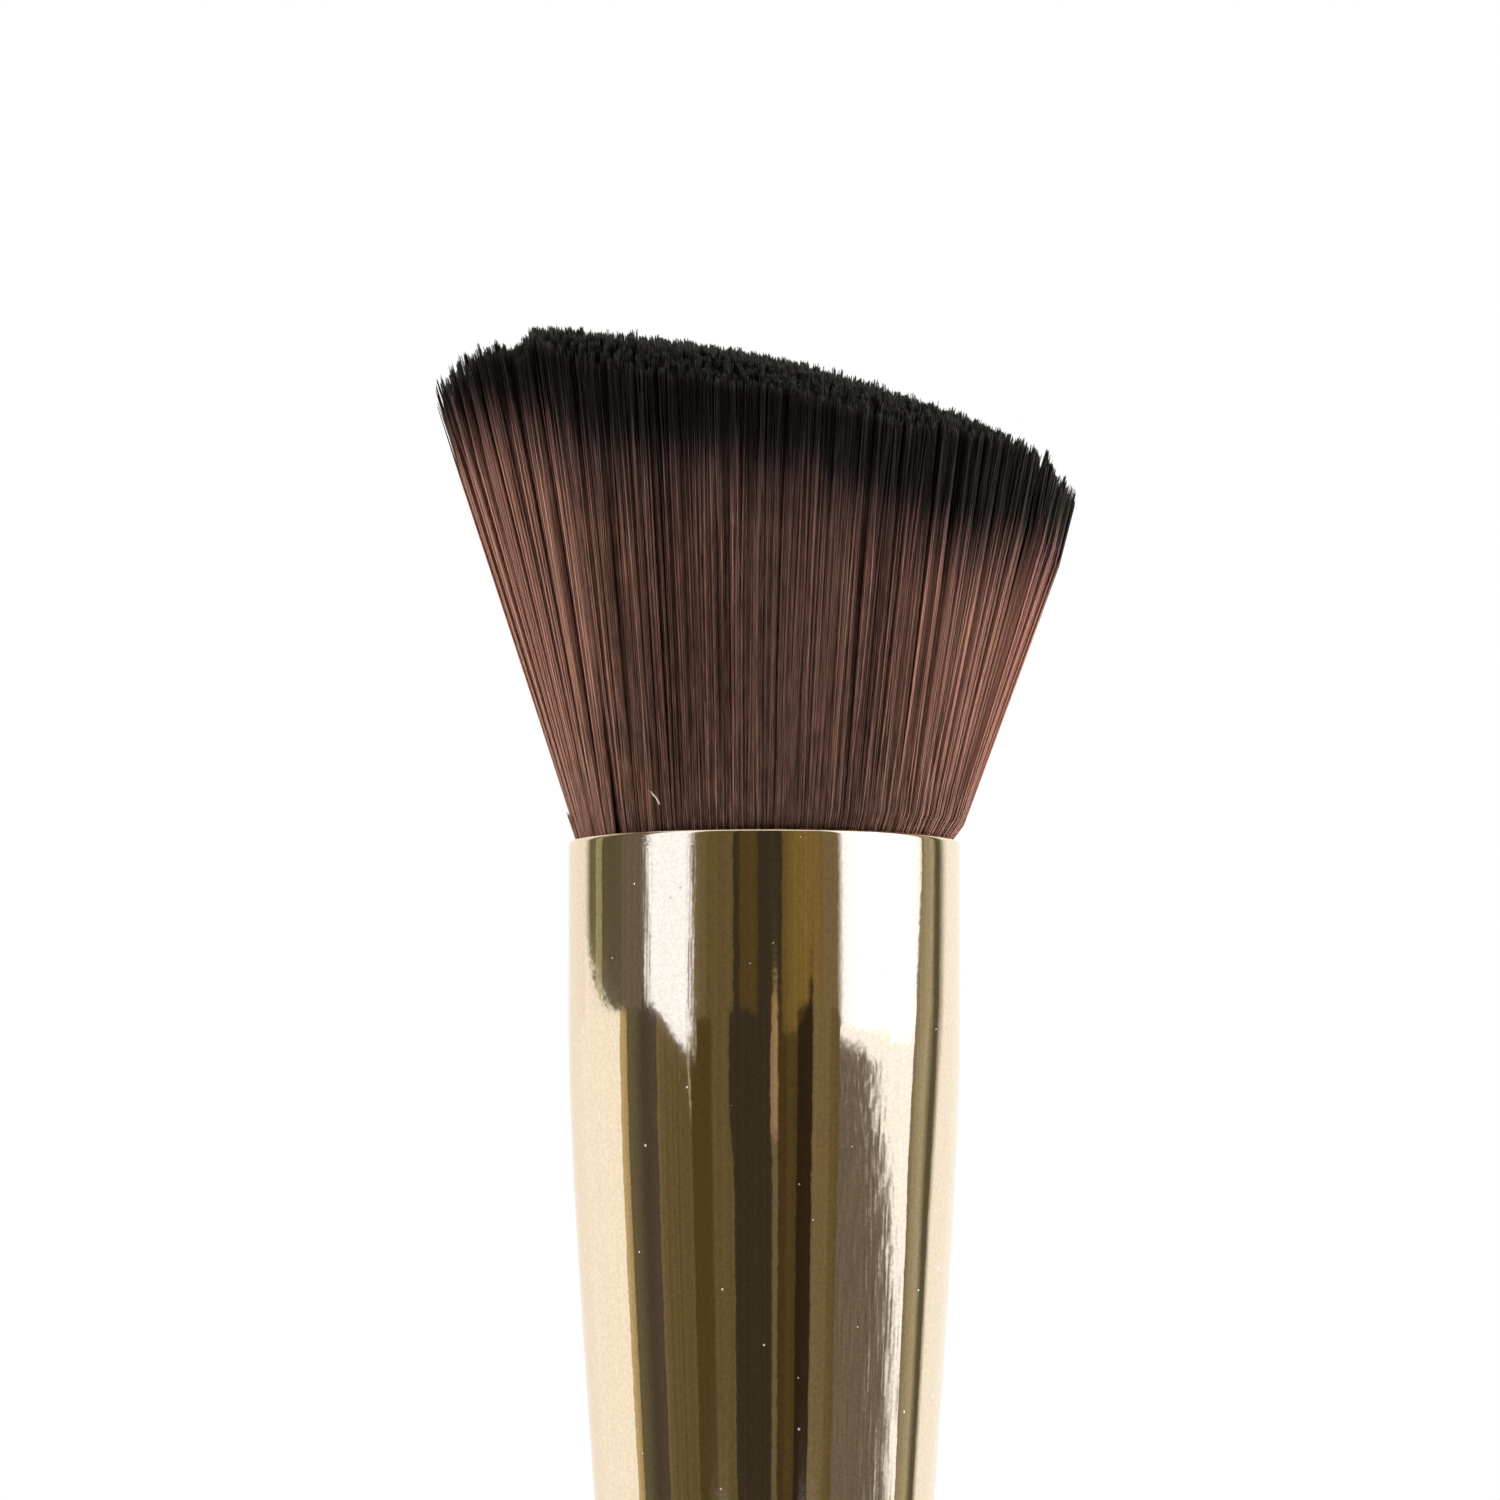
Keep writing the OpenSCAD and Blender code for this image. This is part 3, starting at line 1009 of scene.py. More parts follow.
    @staticmethod
    def tubes(name: str, hair: dict[str, np.ndarray], columns: int = 64) -> bpy.types.Object:
        """Makes one mesh of three-sided tubes, each closed at its root and drawn to a point at its tip.

        Each ring stands square to the hair's own chord: a corner lies at the centre plus the radius times
        (cosine of its angle along one side axis plus sine along the other).

        Args:
            name: The piece's name.
            hair: The arrays that paths gives, cut to this piece's hairs.
            columns: Hairs side by side in the bake map.

        Returns:
            The object, with the hairs' numbers as attributes and a bake map.
        """
        centre, radius = hair["centre"], hair["radius"]
        count, rings = centre.shape[0], centre.shape[1] - 1
        chord = centre[:, -1] - centre[:, 0]
        chord = chord / np.linalg.norm(chord, axis=1, keepdims=True)
        side = np.cross(chord, np.array([0.0, 1.0, 0.0]))
        side = side / np.linalg.norm(side, axis=1, keepdims=True)
        other = np.cross(chord, side)
        angle = hair["turn"][:, None] + turn_angles(3)
        spoke = np.cos(angle)[:, :, None] * side[:, None] + np.sin(angle)[:, :, None] * other[:, None]
        corner = centre[:, :-1, None] + radius[:, :-1, None, None] * spoke[:, None]
        each = rings * 3 + 1
        places = np.concatenate([corner.reshape(count, -1, 3), centre[:, -1:]], axis=1).reshape(-1, 3)
        base = (np.arange(count) * each)[:, None, None]
        ring, j = np.arange(rings - 1)[:, None] * 3, np.arange(3)
        k = (j + 1) % 3
        quads = np.stack([ring + j, ring + k, ring + 3 + k, ring + 3 + j], axis=-1).reshape(1, -1, 4) + base
        last = (rings - 1) * 3
        point = np.stack([last + j, last + k, np.full(3, each - 1)], axis=-1)
        triangles = np.concatenate([point, [[0, 2, 1]]])[None] + base
        made = mesh_object(name, places, quads.reshape(-1, 4), triangles.reshape(-1, 3))
        for label in ("from_tip", "undyed", "shade"):
            below, last = hair[label][:, :-1], hair[label][:, -1]
            write_numbers(made.data, label, np.column_stack([np.repeat(below, 3, axis=1), last]))
        write_numbers(made.data, "dip", np.repeat(hair["dip"][:, None], each, axis=1))
        BristleHead.bake_map(made.data, count, rings, columns)
        return made

    @staticmethod
    def bake_map(mesh: bpy.types.Mesh, count: int, rings: int, columns: int, margin: float = 0.06) -> None:
        """Lays each hair in a cell of a grid of its own: round the hair across, and root to tip upwards.

        Args:
            mesh: The piece's mesh, whose faces come in the order that tubes makes them.
            count: Number of hairs.
            rings: Rings of each hair below its tip.
            columns: Cells side by side.
            margin: The part of a cell's width left free at each side.
        """
        rows, top = math.ceil(count / columns), rings + 0.5
        cell = np.stack([np.arange(count) % columns, np.arange(count) // columns], axis=-1)[:, None, None]
        ring, j = np.arange(rings - 1)[:, None], np.arange(3)
        low = np.broadcast_to(ring, (rings - 1, 3))
        left = np.broadcast_to(j, (rings - 1, 3))
        quad_u = np.stack([left, left + 1, left + 1, left], axis=-1).reshape(-1, 4) / 3.0
        quad_v = np.stack([low, low, low + 1, low + 1], axis=-1).reshape(-1, 4) / top
        tip_u = np.stack([j, j + 1, j + 0.5], axis=-1) / 3.0
        tip_v = np.broadcast_to(np.array([rings - 1, rings - 1, rings]), (3, 3)) / top
        root_u, root_v = np.array([[0.0, 1.0, 0.5]]), np.array([[1.0, 1.0, 0.6]]) * rings / top
        point_u, point_v = np.concatenate([tip_u, root_u]), np.concatenate([tip_v, root_v])
        scale = np.array([columns, rows], dtype=float)
        spots = [
            (cell + margin + (1.0 - 2.0 * margin) * np.stack(pair, axis=-1)[None]) / scale
            for pair in ((quad_u, quad_v), (point_u, point_v))
        ]
        layer = mesh.uv_layers.new(name=BAKE_MAP)
        layer.uv.foreach_set("vector", np.concatenate([spot.ravel() for spot in spots]).astype(np.float32))

    def root(self) -> None:
        """The glued disc and the bound root below it, inside the ferrule."""
        knot_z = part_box("bristle_bundle")[0][2] / MM
        knot_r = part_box("binding_thread")[1][0] / MM - self.thread_t
        disc_z, disc_top = (self.mouth_z - depth for depth in self.disc_depths)
        disc_r = self.bore_r + self.disc_fit
        outline = np.array([
            [0.0, knot_z], [knot_r, knot_z], [knot_r, disc_z], [disc_r, disc_z], [disc_r, disc_top],
            [0.0, disc_top],
        ])
        piece = lathe("bristle_root", outline, self.root_around)
        numbers = {"from_tip": UNDYED_MM, "undyed": UNDYED_MM, "shade": self.root_shade, "dip": 0.5}
        for label, number in numbers.items():
            write_numbers(piece.data, label, np.full(len(piece.data.vertices), number))
        dress(piece, HAIR, "bristle_bundle")

    def build(self) -> None:
        """Grows the shell and the core, cuts each into pieces, and adds the stray hairs and the root."""
        groups = (
            HairGroup(Layer.SHELL, 7, 4800, (-1.0, 0.0, 0.05, 0.32, 0.60, 0.82), 0.043, 0.80, 1.0),
            HairGroup(Layer.CORE, 2, 4800, (-1.0, 0.02, 0.45, 0.80), 0.065, 0.0, 0.84),
        )
        rng = np.random.default_rng(self.seed)
        for group in groups:
            hair = self.paths(rng, group)
            for part in range(group.pieces):
                mine = {label: array[part :: group.pieces] for label, array in hair.items()}
                piece = self.tubes(f"bristles_{group.layer.value}_{part + 1}", mine)
                dress(piece, HAIR, "bristle_bundle")
        stray = Strays().paths(rng, self.mouth_z)
        dress(self.tubes("bristles_stray", stray, 4), HAIR, "bristle_bundle")
        self.root()


# The studio


class Tone(Enum):
    """What a studio card shows to polished metal: its colour times its strength."""

    WHITE = (1.50, 1.65, 2.00)
    SNOW = (1.13, 1.27, 1.55)
    PEARL = (1.16, 1.23, 1.36)
    CREAM = (1.04, 1.04, 1.02)
    SAND = (0.97, 0.92, 0.86)
    HONEY = (0.58, 0.48, 0.29)
    TAN = (0.45, 0.35, 0.19)
    GLINT = (0.43, 0.40, 0.29)
    SAGE = (0.31, 0.28, 0.195)
    LEAF = (0.31, 0.32, 0.17)
    FERN = (0.155, 0.142, 0.082)
    MOSS = (0.110, 0.101, 0.062)
    TAUPE = (0.150, 0.126, 0.102)
    DUST = (0.160, 0.138, 0.115)
    KHAKI = (0.185, 0.146, 0.080)
    OLIVE = (0.134, 0.106, 0.050)
    BRONZE = (0.125, 0.090, 0.028)
    AMBER = (0.205, 0.147, 0.046)
    UMBER = (0.088, 0.062, 0.024)
    ORANGE = (0.32, 0.235, 0.135)
    CLAY = (0.160, 0.130, 0.085)
    COAL = (0.080, 0.066, 0.053)
    DUSK = (0.064, 0.044, 0.018)
    SLATE = (0.042, 0.036, 0.024)
    BLACK = (0.028, 0.020, 0.011)


class Edge(Enum):
    """How a card passes from its first tone to its second."""

    GRADED = "graded"
    FURRY = "furry"


@dataclass(frozen=True)
class Panel:
    """An upright card, as the angle that it fills round the brush, from the camera towards +X.

    The feet are the heights of its lower edge at its two ends, in metres. Without them it stands on its
    tier's own foot. With a second tone, it passes from the first to that one on its way round.
    """

    start_deg: float
    end_deg: float
    tone: Tone
    into: Tone | None = None
    feet: Pair | None = None
    edge: Edge = Edge.GRADED

    def sweep(self) -> tuple[np.ndarray, np.ndarray]:
        """The shares of its way round, about three degrees apart, and the angles there."""
        turn = self.end_deg - self.start_deg
        share = np.linspace(0.0, 1.0, max(2, round(turn / PANEL_STEP_DEG)) + 1)
        return share, self.start_deg + turn * share


@dataclass(frozen=True)
class Card:
    """A card with leaning sides, by rows from its foot to its head.

    Each row has its height in metres and the angles of its two sides. With a second tone, a row passes to
    that one from its turning angle on, or from its start. A lift of 1 puts a whole row past the turn.
    """

    heights: tuple[float, ...]
    starts: tuple[float, ...]
    ends: tuple[float, ...]
    tone: Tone
    into: Tone | None = None
    edge: Edge = Edge.GRADED
    turns: tuple[float, ...] | None = None
    lifts: tuple[float, ...] | None = None


@dataclass(frozen=True)
class Tier:
    """A ring of panels at one distance, in metres, between two heights, with leaning cards of its own."""

    ring_r: float
    low: float
    high: float
    panels: tuple[Panel, ...] = ()
    cards: tuple[Card, ...] = ()


PANEL_STEP_DEG = 3.0
CARD_COLUMNS = 24


def ring(*stops: tuple[float, Tone]) -> tuple[Panel, ...]:
    """Makes panels from one (angle, tone) stop to the next, graded where the tones differ."""
    return tuple(
        Panel(start, end, tone, None if into is tone else into)
        for (start, tone), (end, into) in zip(stops, stops[1:])
    )


HIGH_TIER = Tier(0.60, 0.152, 0.90, (
    Panel(-180, -131.0, Tone.SAND),
    Panel(-131.0, -124.0, Tone.SAND, Tone.FERN, (0.163, 0.160)),
    Panel(-124.0, -117.5, Tone.FERN, feet=(0.160, 0.158)),
    Panel(-117.5, -110.8, Tone.LEAF, feet=(0.158, 0.1565)),
    Panel(-110.8, -96.0, Tone.MOSS, feet=(0.1565, 0.152)),
    Panel(-96.0, -90.0, Tone.MOSS, Tone.TAUPE),
    Panel(-90.0, -76.6, Tone.TAUPE),
    Panel(-76.6, -68.0, Tone.TAUPE, Tone.SNOW, (0.157, 0.1525), Edge.FURRY),
    Panel(-68.0, -47.0, Tone.SNOW, feet=(0.1525, 0.128)),
    Panel(-47.0, -40.0, Tone.SNOW, Tone.KHAKI, (0.128, 0.123), Edge.FURRY),
    Panel(-40.0, -34.0, Tone.KHAKI, Tone.OLIVE, (0.144, 0.145)),
    Panel(-34.0, -18.3, Tone.OLIVE, feet=(0.145, 0.149)),
    Panel(-18.3, -14.5, Tone.SLATE, feet=(0.150, 0.150)),
    Panel(-14.5, -4.0, Tone.UMBER, feet=(0.150, 0.146)),
    Panel(-4.0, 9.8, Tone.SLATE, feet=(0.146, 0.157)),
    Panel(9.8, 19.0, Tone.BRONZE, Tone.AMBER, (0.136, 0.136)),
    Panel(19.0, 31.0, Tone.AMBER, feet=(0.150, 0.158)),
    Panel(31.0, 36.0, Tone.AMBER, Tone.KHAKI, (0.150, 0.150)),
    Panel(36.0, 43.0, Tone.KHAKI, feet=(0.150, 0.150)),
    Panel(43.0, 47.2, Tone.KHAKI, Tone.SNOW, (0.150, 0.136)),
    Panel(47.2, 57.0, Tone.SNOW, Tone.WHITE, (0.136, 0.135)),
    Panel(57.0, 93.0, Tone.WHITE, feet=(0.134, 0.138)),
    Panel(93.0, 104.0, Tone.WHITE, Tone.SNOW, (0.138, 0.146)),
    Panel(104.0, 180, Tone.CREAM),
))

LOW_TIER = Tier(0.62, -0.05, 0.60, ring(
    (-180, Tone.SAND), (-150, Tone.SAND), (-130, Tone.CREAM), (-94.4, Tone.CREAM), (-94.2, Tone.HONEY),
    (-88.5, Tone.TAN), (-88.0, Tone.FERN), (-77.0, Tone.COAL), (-66.2, Tone.COAL), (-66.0, Tone.KHAKI),
    (-60.0, Tone.OLIVE), (-43.6, Tone.OLIVE), (-43.4, Tone.UMBER), (-31.5, Tone.UMBER), (-31.0, Tone.OLIVE),
    (-18.5, Tone.OLIVE), (-18.3, Tone.SLATE), (4.2, Tone.SLATE), (4.4, Tone.CLAY), (7.6, Tone.CLAY),
    (7.8, Tone.DUSK), (11.8, Tone.DUSK), (13.2, Tone.UMBER), (17.5, Tone.UMBER), (19.5, Tone.DUSK),
    (28.2, Tone.DUSK), (28.4, Tone.KHAKI), (37.0, Tone.KHAKI), (41.0, Tone.OLIVE), (45.2, Tone.OLIVE),
    (45.4, Tone.PEARL), (100.0, Tone.PEARL), (100.2, Tone.MOSS), (119.0, Tone.MOSS), (119.2, Tone.CREAM),
    (180, Tone.CREAM),
))

# Where a dark card at the right starts to turn pale, row by row, and how far round that takes.
DUST_TURNS = (87.0, 84.0, 78.5, 68.5, 60.5, 60.5, 60.5, 61.0)
DUST_FADE_DEG = 18.0

# Leaning bands at the right, behind the brush: the tone of each edge, and its angle at each of these heights.
TRIM_HEIGHTS = (-0.05, 0.075, 0.10, 0.12, 0.135, 0.148, 0.158, 0.163, 0.168, 0.90)
TRIM_EDGES = (
    (Tone.KHAKI, (96.5, 96.5, 95.5, 96.5, 98.0, 99.5, 100.5, 103.0, 105.5, 105.5)),
    (Tone.SAGE, (100.5, 100.5, 99.5, 100.5, 101.5, 103.0, 104.0, 106.0, 107.5, 107.5)),
    (Tone.GLINT, (108.5, 108.5, 107.0, 107.5, 109.5, 112.0, 114.0, 115.5, 117.0, 117.0)),
    (Tone.MOSS, (114.5, 114.5, 112.8, 114.5, 116.5, 118.0, 119.0, 119.5, 120.0, 120.0)),
    (Tone.MOSS, (118.5, 118.5, 117.3, 119.0, 120.5, 121.5, 123.0, 124.0, 124.5, 124.5)),
    (Tone.CREAM, (124.0, 124.0, 122.3, 124.5, 127.0, 130.0, 132.5, 134.0, 135.0, 135.0)),
)

CARD_TIER = Tier(0.59, -0.05, 0.90, cards=(
    Card(
        (-0.05, 0.020, 0.069, 0.094, 0.106, 0.122, 0.130, 0.140), (44.5,) * 8,
        tuple(turn + DUST_FADE_DEG for turn in DUST_TURNS), Tone.DUST, Tone.PEARL, Edge.FURRY, DUST_TURNS,
        (0.0, 0.0, 0.0, 0.0, 0.0, 0.0, 0.5, 3.0),
    ),
    *(
        Card(TRIM_HEIGHTS, left, right, tone, into)
        for (tone, left), (into, right) in zip(TRIM_EDGES, TRIM_EDGES[1:])
    ),
    Card((-0.05, 0.135, 0.158), (19.0, 19.0, 26.5), (28.3, 28.3, 28.3), Tone.BLACK),
    Card((0.088, 0.130, 0.157), (3.6, 3.6, 4.6), (7.2, 7.6, 7.2), Tone.ORANGE),
    Card((0.078, 0.098, 0.148), (-18.4, -21.0, -20.5), (-18.2, -18.2, -18.2), Tone.SLATE),
    Card((0.100, 0.130), (-44.2, -46.4), (-43.5, -45.2), Tone.GLINT),
))

HANDLE_REPEAT_DEG = 60
HANDLE_TIER = Tier(0.56, -0.05, 0.026, tuple(
    panel
    for turn in range(-180, 180, HANDLE_REPEAT_DEG)
    for panel in ring(
        (turn, Tone.SLATE), (turn + 22, Tone.COAL), (turn + 24, Tone.PEARL), (turn + 34, Tone.PEARL),
        (turn + 36, Tone.COAL), (turn + HANDLE_REPEAT_DEG, Tone.SLATE),
    )
))

# Sectors that lie on the floor, and the two radii between which they lie.
NEAR_REACH = (0.006, 0.022)
NEAR_SECTORS = ring(
    (-180, Tone.COAL), (-60, Tone.SLATE), (-52, Tone.SAGE), (-40, Tone.SAGE), (-32, Tone.COAL),
    (60, Tone.SLATE), (70, Tone.SAGE), (78, Tone.SAGE), (88, Tone.COAL), (180, Tone.COAL),
)
FAR_REACH = (0.022, 0.57)
FAR_SECTORS = ring(
    (-180, Tone.CREAM), (-158, Tone.CREAM), (-152, Tone.COAL), (-131, Tone.COAL), (-126, Tone.KHAKI),
    (-118, Tone.CREAM), (-90, Tone.CREAM), (-82, Tone.OLIVE), (-66, Tone.OLIVE), (-62, Tone.SLATE),
    (-48, Tone.SLATE), (-42, Tone.CREAM), (-16, Tone.CREAM), (-11, Tone.COAL), (8, Tone.COAL),
    (12, Tone.UMBER), (20, Tone.UMBER), (25, Tone.CREAM), (56, Tone.CREAM), (62, Tone.COAL),
    (84, Tone.OLIVE), (92, Tone.CREAM), (128, Tone.CREAM), (134, Tone.UMBER), (156, Tone.SLATE),
    (161, Tone.CREAM), (180, Tone.CREAM),
)


@dataclass(frozen=True)
class Glow:
    """What a card shows to polished metal: its first tone, its second, and the edge between the two.

    The card's own number, passed, takes it from its first tone at 0 to its second at 1.
    """

    tone: Tone
    into: Tone
    edge: Edge
    streaks: Triple = (70.0, 70.0, 2.0)
    pale_streak: float = 0.14
    dark_streak: float = 0.7
    stroke_up: float = 420.0
    stroke_slant: float = 6.0
    stroke_along: float = 5.0
    stroke_reach: float = 3.4
    cut: Pair = (0.42, 0.58)
    mottle_up: float = 260.0
    mottle_along: float = 12.0
    mottle_apart: float = 7.0
    mottle_depth: float = 1.9
    fleck: Pair = (0.60, 0.66)
    fleck_near: Pair = (-1.1, 0.3)
    fleck_tone: float = 0.6

    def graded(self, tree: ShaderTree) -> tuple[Value, Value]:
        """The way to the second tone, and a strength with upright streaks, which show most in dark tones."""
        spread = self.pale_streak if min(self.tone.value) > 0.5 else self.dark_streak
        return tree.attribute("passed"), tree.grain(self.streaks, 3.0) * spread + (1.0 - spread / 2.0)

    def furry(self, tree: ShaderTree) -> tuple[Value, Value]:
        """The way to the second tone, cut by short slanting strokes of noise, and a mottled strength.

        The mottle fills the first tone, and its lightest parts are flecks of the second near the turn.
        """
        passed = tree.attribute("passed")
        height = tree.value("ShaderNodeSeparateXYZ", None, {0: tree.place()}, 2)
        slant = height * self.stroke_up - passed * self.stroke_slant
        strokes = tree.noise(tree.vector(slant, passed * self.stroke_along, 0.0), 1.0)
        patch = tree.vector(height * self.mottle_up, passed * self.mottle_along, self.mottle_apart)
        mottle = tree.noise(patch, 1.0, 3.0)
        cut = (passed + (strokes - 0.5) * self.stroke_reach).over(*self.cut)
        flecks = mottle.over(*self.fleck) * passed.over(*self.fleck_near) * self.fleck_tone
        return cut + flecks, (mottle - 0.5) * self.mottle_depth * (cut * -1.0 + 1.0) + 1.0

    def material(self) -> bpy.types.Material:
        """Returns the card's material, made once for each pair of tones and edge."""
        name = f"glow_{self.tone.name}_{self.into.name}_{self.edge.value}".lower()
        made = bpy.data.materials.get(name)
        if made is None:
            made, tree = new_material(name)
            made.node_tree.nodes.clear()
            passed, strength = self.furry(tree) if self.edge is Edge.FURRY else self.graded(tree)
            colour = tree.mix(passed.clamped(), self.tone.value, self.into.value)
            glow = tree.node("ShaderNodeEmission", None, {"Color": colour, "Strength": strength})
            tree.node("ShaderNodeOutputMaterial", None, {"Surface": glow.outputs[0]})
        return made


@dataclass(frozen=True)
class Lamp:
    """A soft lamp: its place and size in metres, and its power in watts."""

    name: str
    place: Triple
    size: float
    power: float


@dataclass
class Studio:
    """The pale floor, the white surroundings, soft lamps, the panels that the metal mirrors, and the camera.

    Sizes are in metres, but the height aimed at and the floor's drop are in millimetres. To the camera and to
    mirrors the floor passes into the white surroundings between two distances from the brush.
    """

    aim_z: float
    lamps: tuple[Lamp, ...] = (
        Lamp("left_softbox", (-0.70, 0.00, 0.30), 0.35, 6.0),
        Lamp("right_softbox", (0.55, 0.28, 0.36), 0.35, 9.0),
        Lamp("right_card", (0.70, 0.00, 0.30), 0.35, 2.8),
        Lamp("top_softbox", (0.00, 0.10, 0.85), 0.60, 1.6),
    )
    fill: float = 0.04
    floor_r: float = 1.6
    floor_drop: float = 0.02
    floor_sides: int = 96
    floor_tone: float = 0.86
    floor_white: float = 0.30
    floor_fade: Pair = (0.12, 0.55)
    sector_z: float = 0.0001
    lens: float = 343.0
    sensor_w: float = 36.0
    clip: Pair = (0.05, 20.0)
    camera_away: float = 0.764
    camera_below: float = 0.055
    camera_left: float = 0.00078
    camera_tilt_deg: float = 4.486

    def surroundings(self) -> None:
        """White to the camera, to mirrors and through glass, and a soft grey to everything else."""
        world = bpy.data.worlds.new("white_surroundings")
        world.use_nodes = True
        world.node_tree.nodes.clear()
        bpy.context.scene.world = world
        tree = ShaderTree(world.node_tree)
        white, fill = (
            tree.node("ShaderNodeBackground", None, {"Color": WHITE, "Strength": strength})
            for strength in (1.0, self.fill)
        )
        tree.node("ShaderNodeOutputWorld", None, {"Surface": tree.blend(self.seen_rays(tree), fill, white)})

    @staticmethod
    def seen_rays(tree: ShaderTree) -> Value:
        """1 for camera, glossy and transmission rays, and 0 for all others."""
        path = tree.node("ShaderNodeLightPath")
        seen = Value(tree, path.outputs["Is Camera Ray"]) + Value(tree, path.outputs["Is Glossy Ray"])
        return (seen + Value(tree, path.outputs["Is Transmission Ray"])).clamped()

    def floor(self) -> None:
        """A round, pale, matt floor under the handle's tail, which keeps the brush's shadow."""
        sides = self.floor_sides
        angle, reach = turn_angles(sides), self.floor_r / MM
        flat = np.stack([reach * np.cos(angle), reach * np.sin(angle)], axis=-1)
        places = np.column_stack([np.vstack([flat, [[0.0, 0.0]]]), np.full(sides + 1, -self.floor_drop)])
        here = np.arange(sides)
        fan = np.stack([np.full(sides, sides), here, (here + 1) % sides], axis=-1)
        made = mesh_object("floor", places, NO_FACES, fan)
        material, tree = new_material("pale_floor")
        matt = material.node_tree.nodes["Principled BSDF"]
        grey = (self.floor_tone, self.floor_tone, self.floor_tone, 1.0)
        tree.fill(matt, {"Base Color": grey, "Roughness": 0.9, "Specular IOR Level": 0.1})
        away = tree.value("ShaderNodeVectorMath", {"operation": "LENGTH"}, {0: tree.place()}, "Value")
        white = self.floor_white + away.over(*self.floor_fade) * (1.0 - self.floor_white)
        glow = tree.node("ShaderNodeEmission", None, {"Color": WHITE, "Strength": 1.0})
        surface = tree.blend(self.seen_rays(tree) * white, matt, glow)
        tree.fill(material.node_tree.nodes["Material Output"], {"Surface": surface})
        made.data.materials.append(material)

    @staticmethod
    def hang(
        name: str,
        angle: np.ndarray,
        radius: np.ndarray | float,
        height: np.ndarray | float,
        passed: np.ndarray,
        card: Panel | Card,
    ) -> None:
        """Hangs one card that only mirrors see, as rows of points, each with its places across.

        A point is at (radius times the sine of its angle, less radius times its cosine, height).

        Args:
            name: The card's name.
            angle: Degrees round the brush, from the camera towards +X.
            radius: Distance from the brush's axis in metres.
            height: Height above the floor in metres.
            passed: How far each point is from the first tone to the second.
            card: Its tones and its edge.
        """
        turn, radius, height, passed = np.broadcast_arrays(np.radians(angle), radius, height, passed)
        places = np.stack([np.sin(turn) * radius, -np.cos(turn) * radius, height], axis=-1) / MM
        rows, columns = turn.shape
        corner = (np.arange(rows - 1)[:, None] * columns + np.arange(columns - 1)).ravel()
        quads = np.stack([corner, corner + 1, corner + 1 + columns, corner + columns], axis=-1)
        made = mesh_object(name, places.reshape(-1, 3), quads, NO_FACES)
        write_numbers(made.data, "passed", passed)
        made.data.materials.append(Glow(card.tone, card.into or card.tone, card.edge).material())
        for rays in ("camera", "diffuse", "shadow", "transmission", "volume_scatter"):
            setattr(made, f"visible_{rays}", False)

    def tier(self, label: str, tier: Tier) -> None:
        """Hangs a tier's panels and its leaning cards."""
        for number, panel in enumerate(tier.panels, start=1):
            share, angle = panel.sweep()
            near, far = panel.feet or (tier.low, tier.low)
            height = np.stack([near + (far - near) * share, np.full(share.size, tier.high)])
            self.hang(f"panel_{label}_{number}", angle, tier.ring_r, height, share, panel)
        share = np.linspace(0.0, 1.0, CARD_COLUMNS + 1)
        for number, card in enumerate(tier.cards, start=1):
            rows = (card.heights, card.starts, card.ends, card.turns or card.starts, card.lifts or (0.0,))
            height, start, end, turn, lift = (np.array(row)[:, None] for row in rows)
            angle = start + (end - start) * share
            passed = (angle - turn) / (end - turn) + lift
            self.hang(f"card_{label}_{number}", angle, tier.ring_r, height, passed, card)

    def sectors(self, label: str, panels: tuple[Panel, ...], reach: Pair) -> None:
        """Lays panels down on the floor, between two radii, for mirrors that look down from above."""
        for number, panel in enumerate(panels, start=1):
            share, angle = panel.sweep()
            radius = np.array(reach)[:, None]
            self.hang(f"sector_{label}_{number}", angle, radius, self.sector_z, share, panel)

    def light(self, lamp: Lamp) -> None:
        """Hangs one square lamp that faces the ferrule's mouth and lights matt surfaces, not mirrors."""
        data = bpy.data.lights.new(lamp.name, "AREA")
        data.size = lamp.size
        data.energy = lamp.power
        made = scene_object(lamp.name, data)
        made.location = lamp.place
        aim = np.array([0.0, 0.0, self.aim_z * MM]) - np.array(lamp.place)
        flat = math.hypot(aim[0], aim[1])
        made.rotation_euler = (math.atan2(flat, -aim[2]), 0.0, math.atan2(-aim[0], aim[1]))
        made.visible_glossy = False
        made.visible_camera = False

    def camera(self) -> None:
        """Sets the camera before the brush and a little below the ferrule's mouth, looking slightly up."""
        data = bpy.data.cameras.new("camera")
        data.lens = self.lens
        data.sensor_width = self.sensor_w
        data.clip_start, data.clip_end = self.clip
        made = scene_object("camera", data)
        made.location = (-self.camera_left, -self.camera_away, self.aim_z * MM - self.camera_below)
        made.rotation_euler = (math.radians(90.0 + self.camera_tilt_deg), 0.0, 0.0)
        bpy.context.scene.camera = made

    def build(self) -> None:
        """Sets up the whole studio."""
        self.camera()
        self.surroundings()
        self.floor()
        for lamp in self.lamps:
            self.light(lamp)
        tiers = {"high": HIGH_TIER, "low": LOW_TIER, "near": CARD_TIER, "foot": HANDLE_TIER}
        for label, tier in tiers.items():
            self.tier(label, tier)
        self.sectors("near", NEAR_SECTORS, NEAR_REACH)
        self.sectors("far", FAR_SECTORS, FAR_REACH)
        LOG.info("studio: %d lamps", len(self.lamps))


def dress_hidden(node: str, finish: Finish) -> None:
    """Gives a CAD node that keeps its own shape a procedural finish."""
    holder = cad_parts[node]
    if not holder.material_slots:
        holder.data.materials.append(None)
    for slot in holder.material_slots:
        slot.material = finish.material()


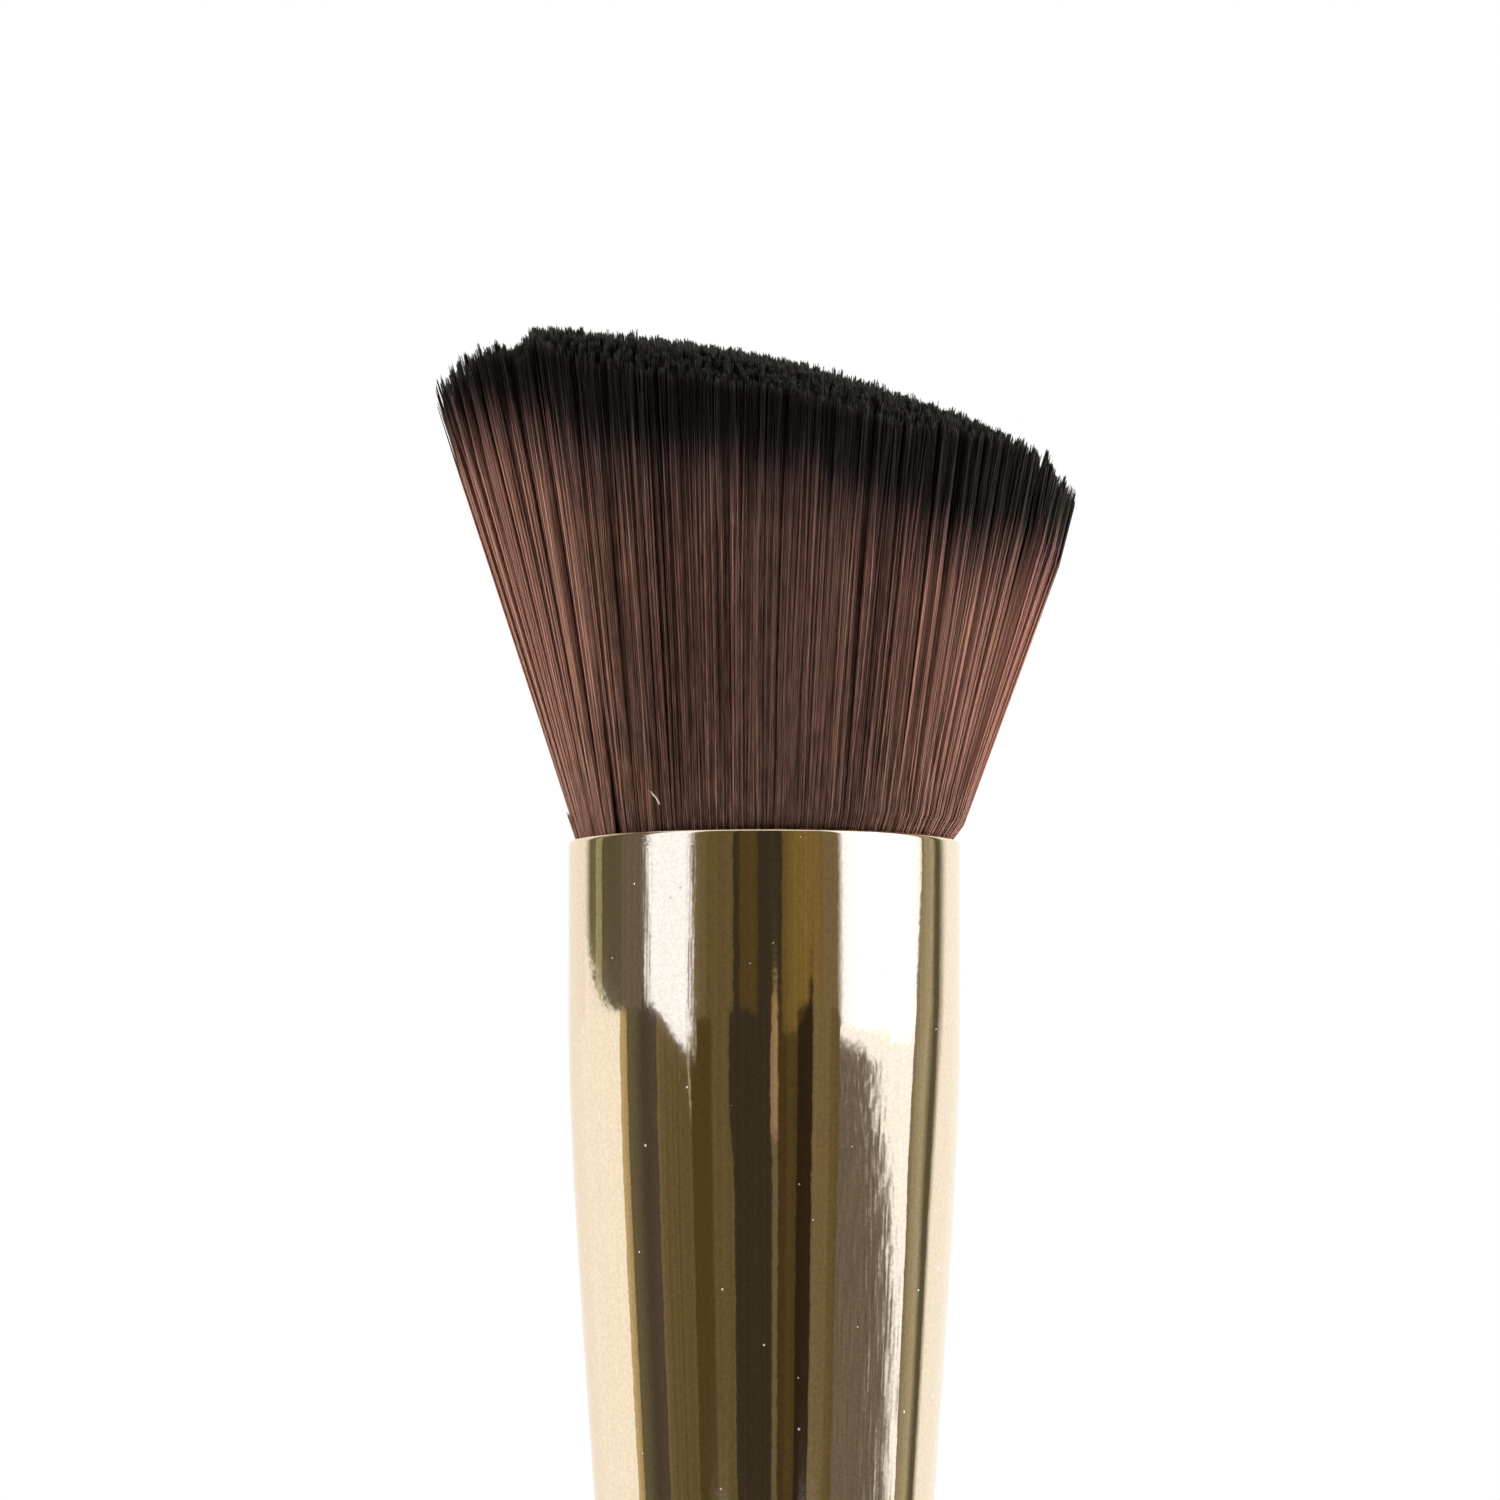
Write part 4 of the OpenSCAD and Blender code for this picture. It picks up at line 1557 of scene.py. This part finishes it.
def main() -> None:
    """Builds the brush and its studio."""
    logging.basicConfig(level=logging.INFO, format="%(message)s")
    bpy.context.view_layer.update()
    ferrule_low, ferrule_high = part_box("ferrule")
    ferrule = Ferrule(ferrule_low[2] / MM, ferrule_high[2] / MM, ferrule_high[0] / MM)
    Studio(ferrule.mouth_z).build()
    ferrule.build()
    Handle(ferrule).build()
    BristleHead(ferrule.mouth_z, ferrule.mouth_r - ferrule.wall - BORE_GAP).build()
    dress_hidden("root_resin", RESIN)
    dress_hidden("handle_glue", GLUE)
    dress_hidden("binding_thread", THREAD)
    bpy.context.scene.view_settings.view_transform = "Standard"


if __name__ == "__main__":
    main()
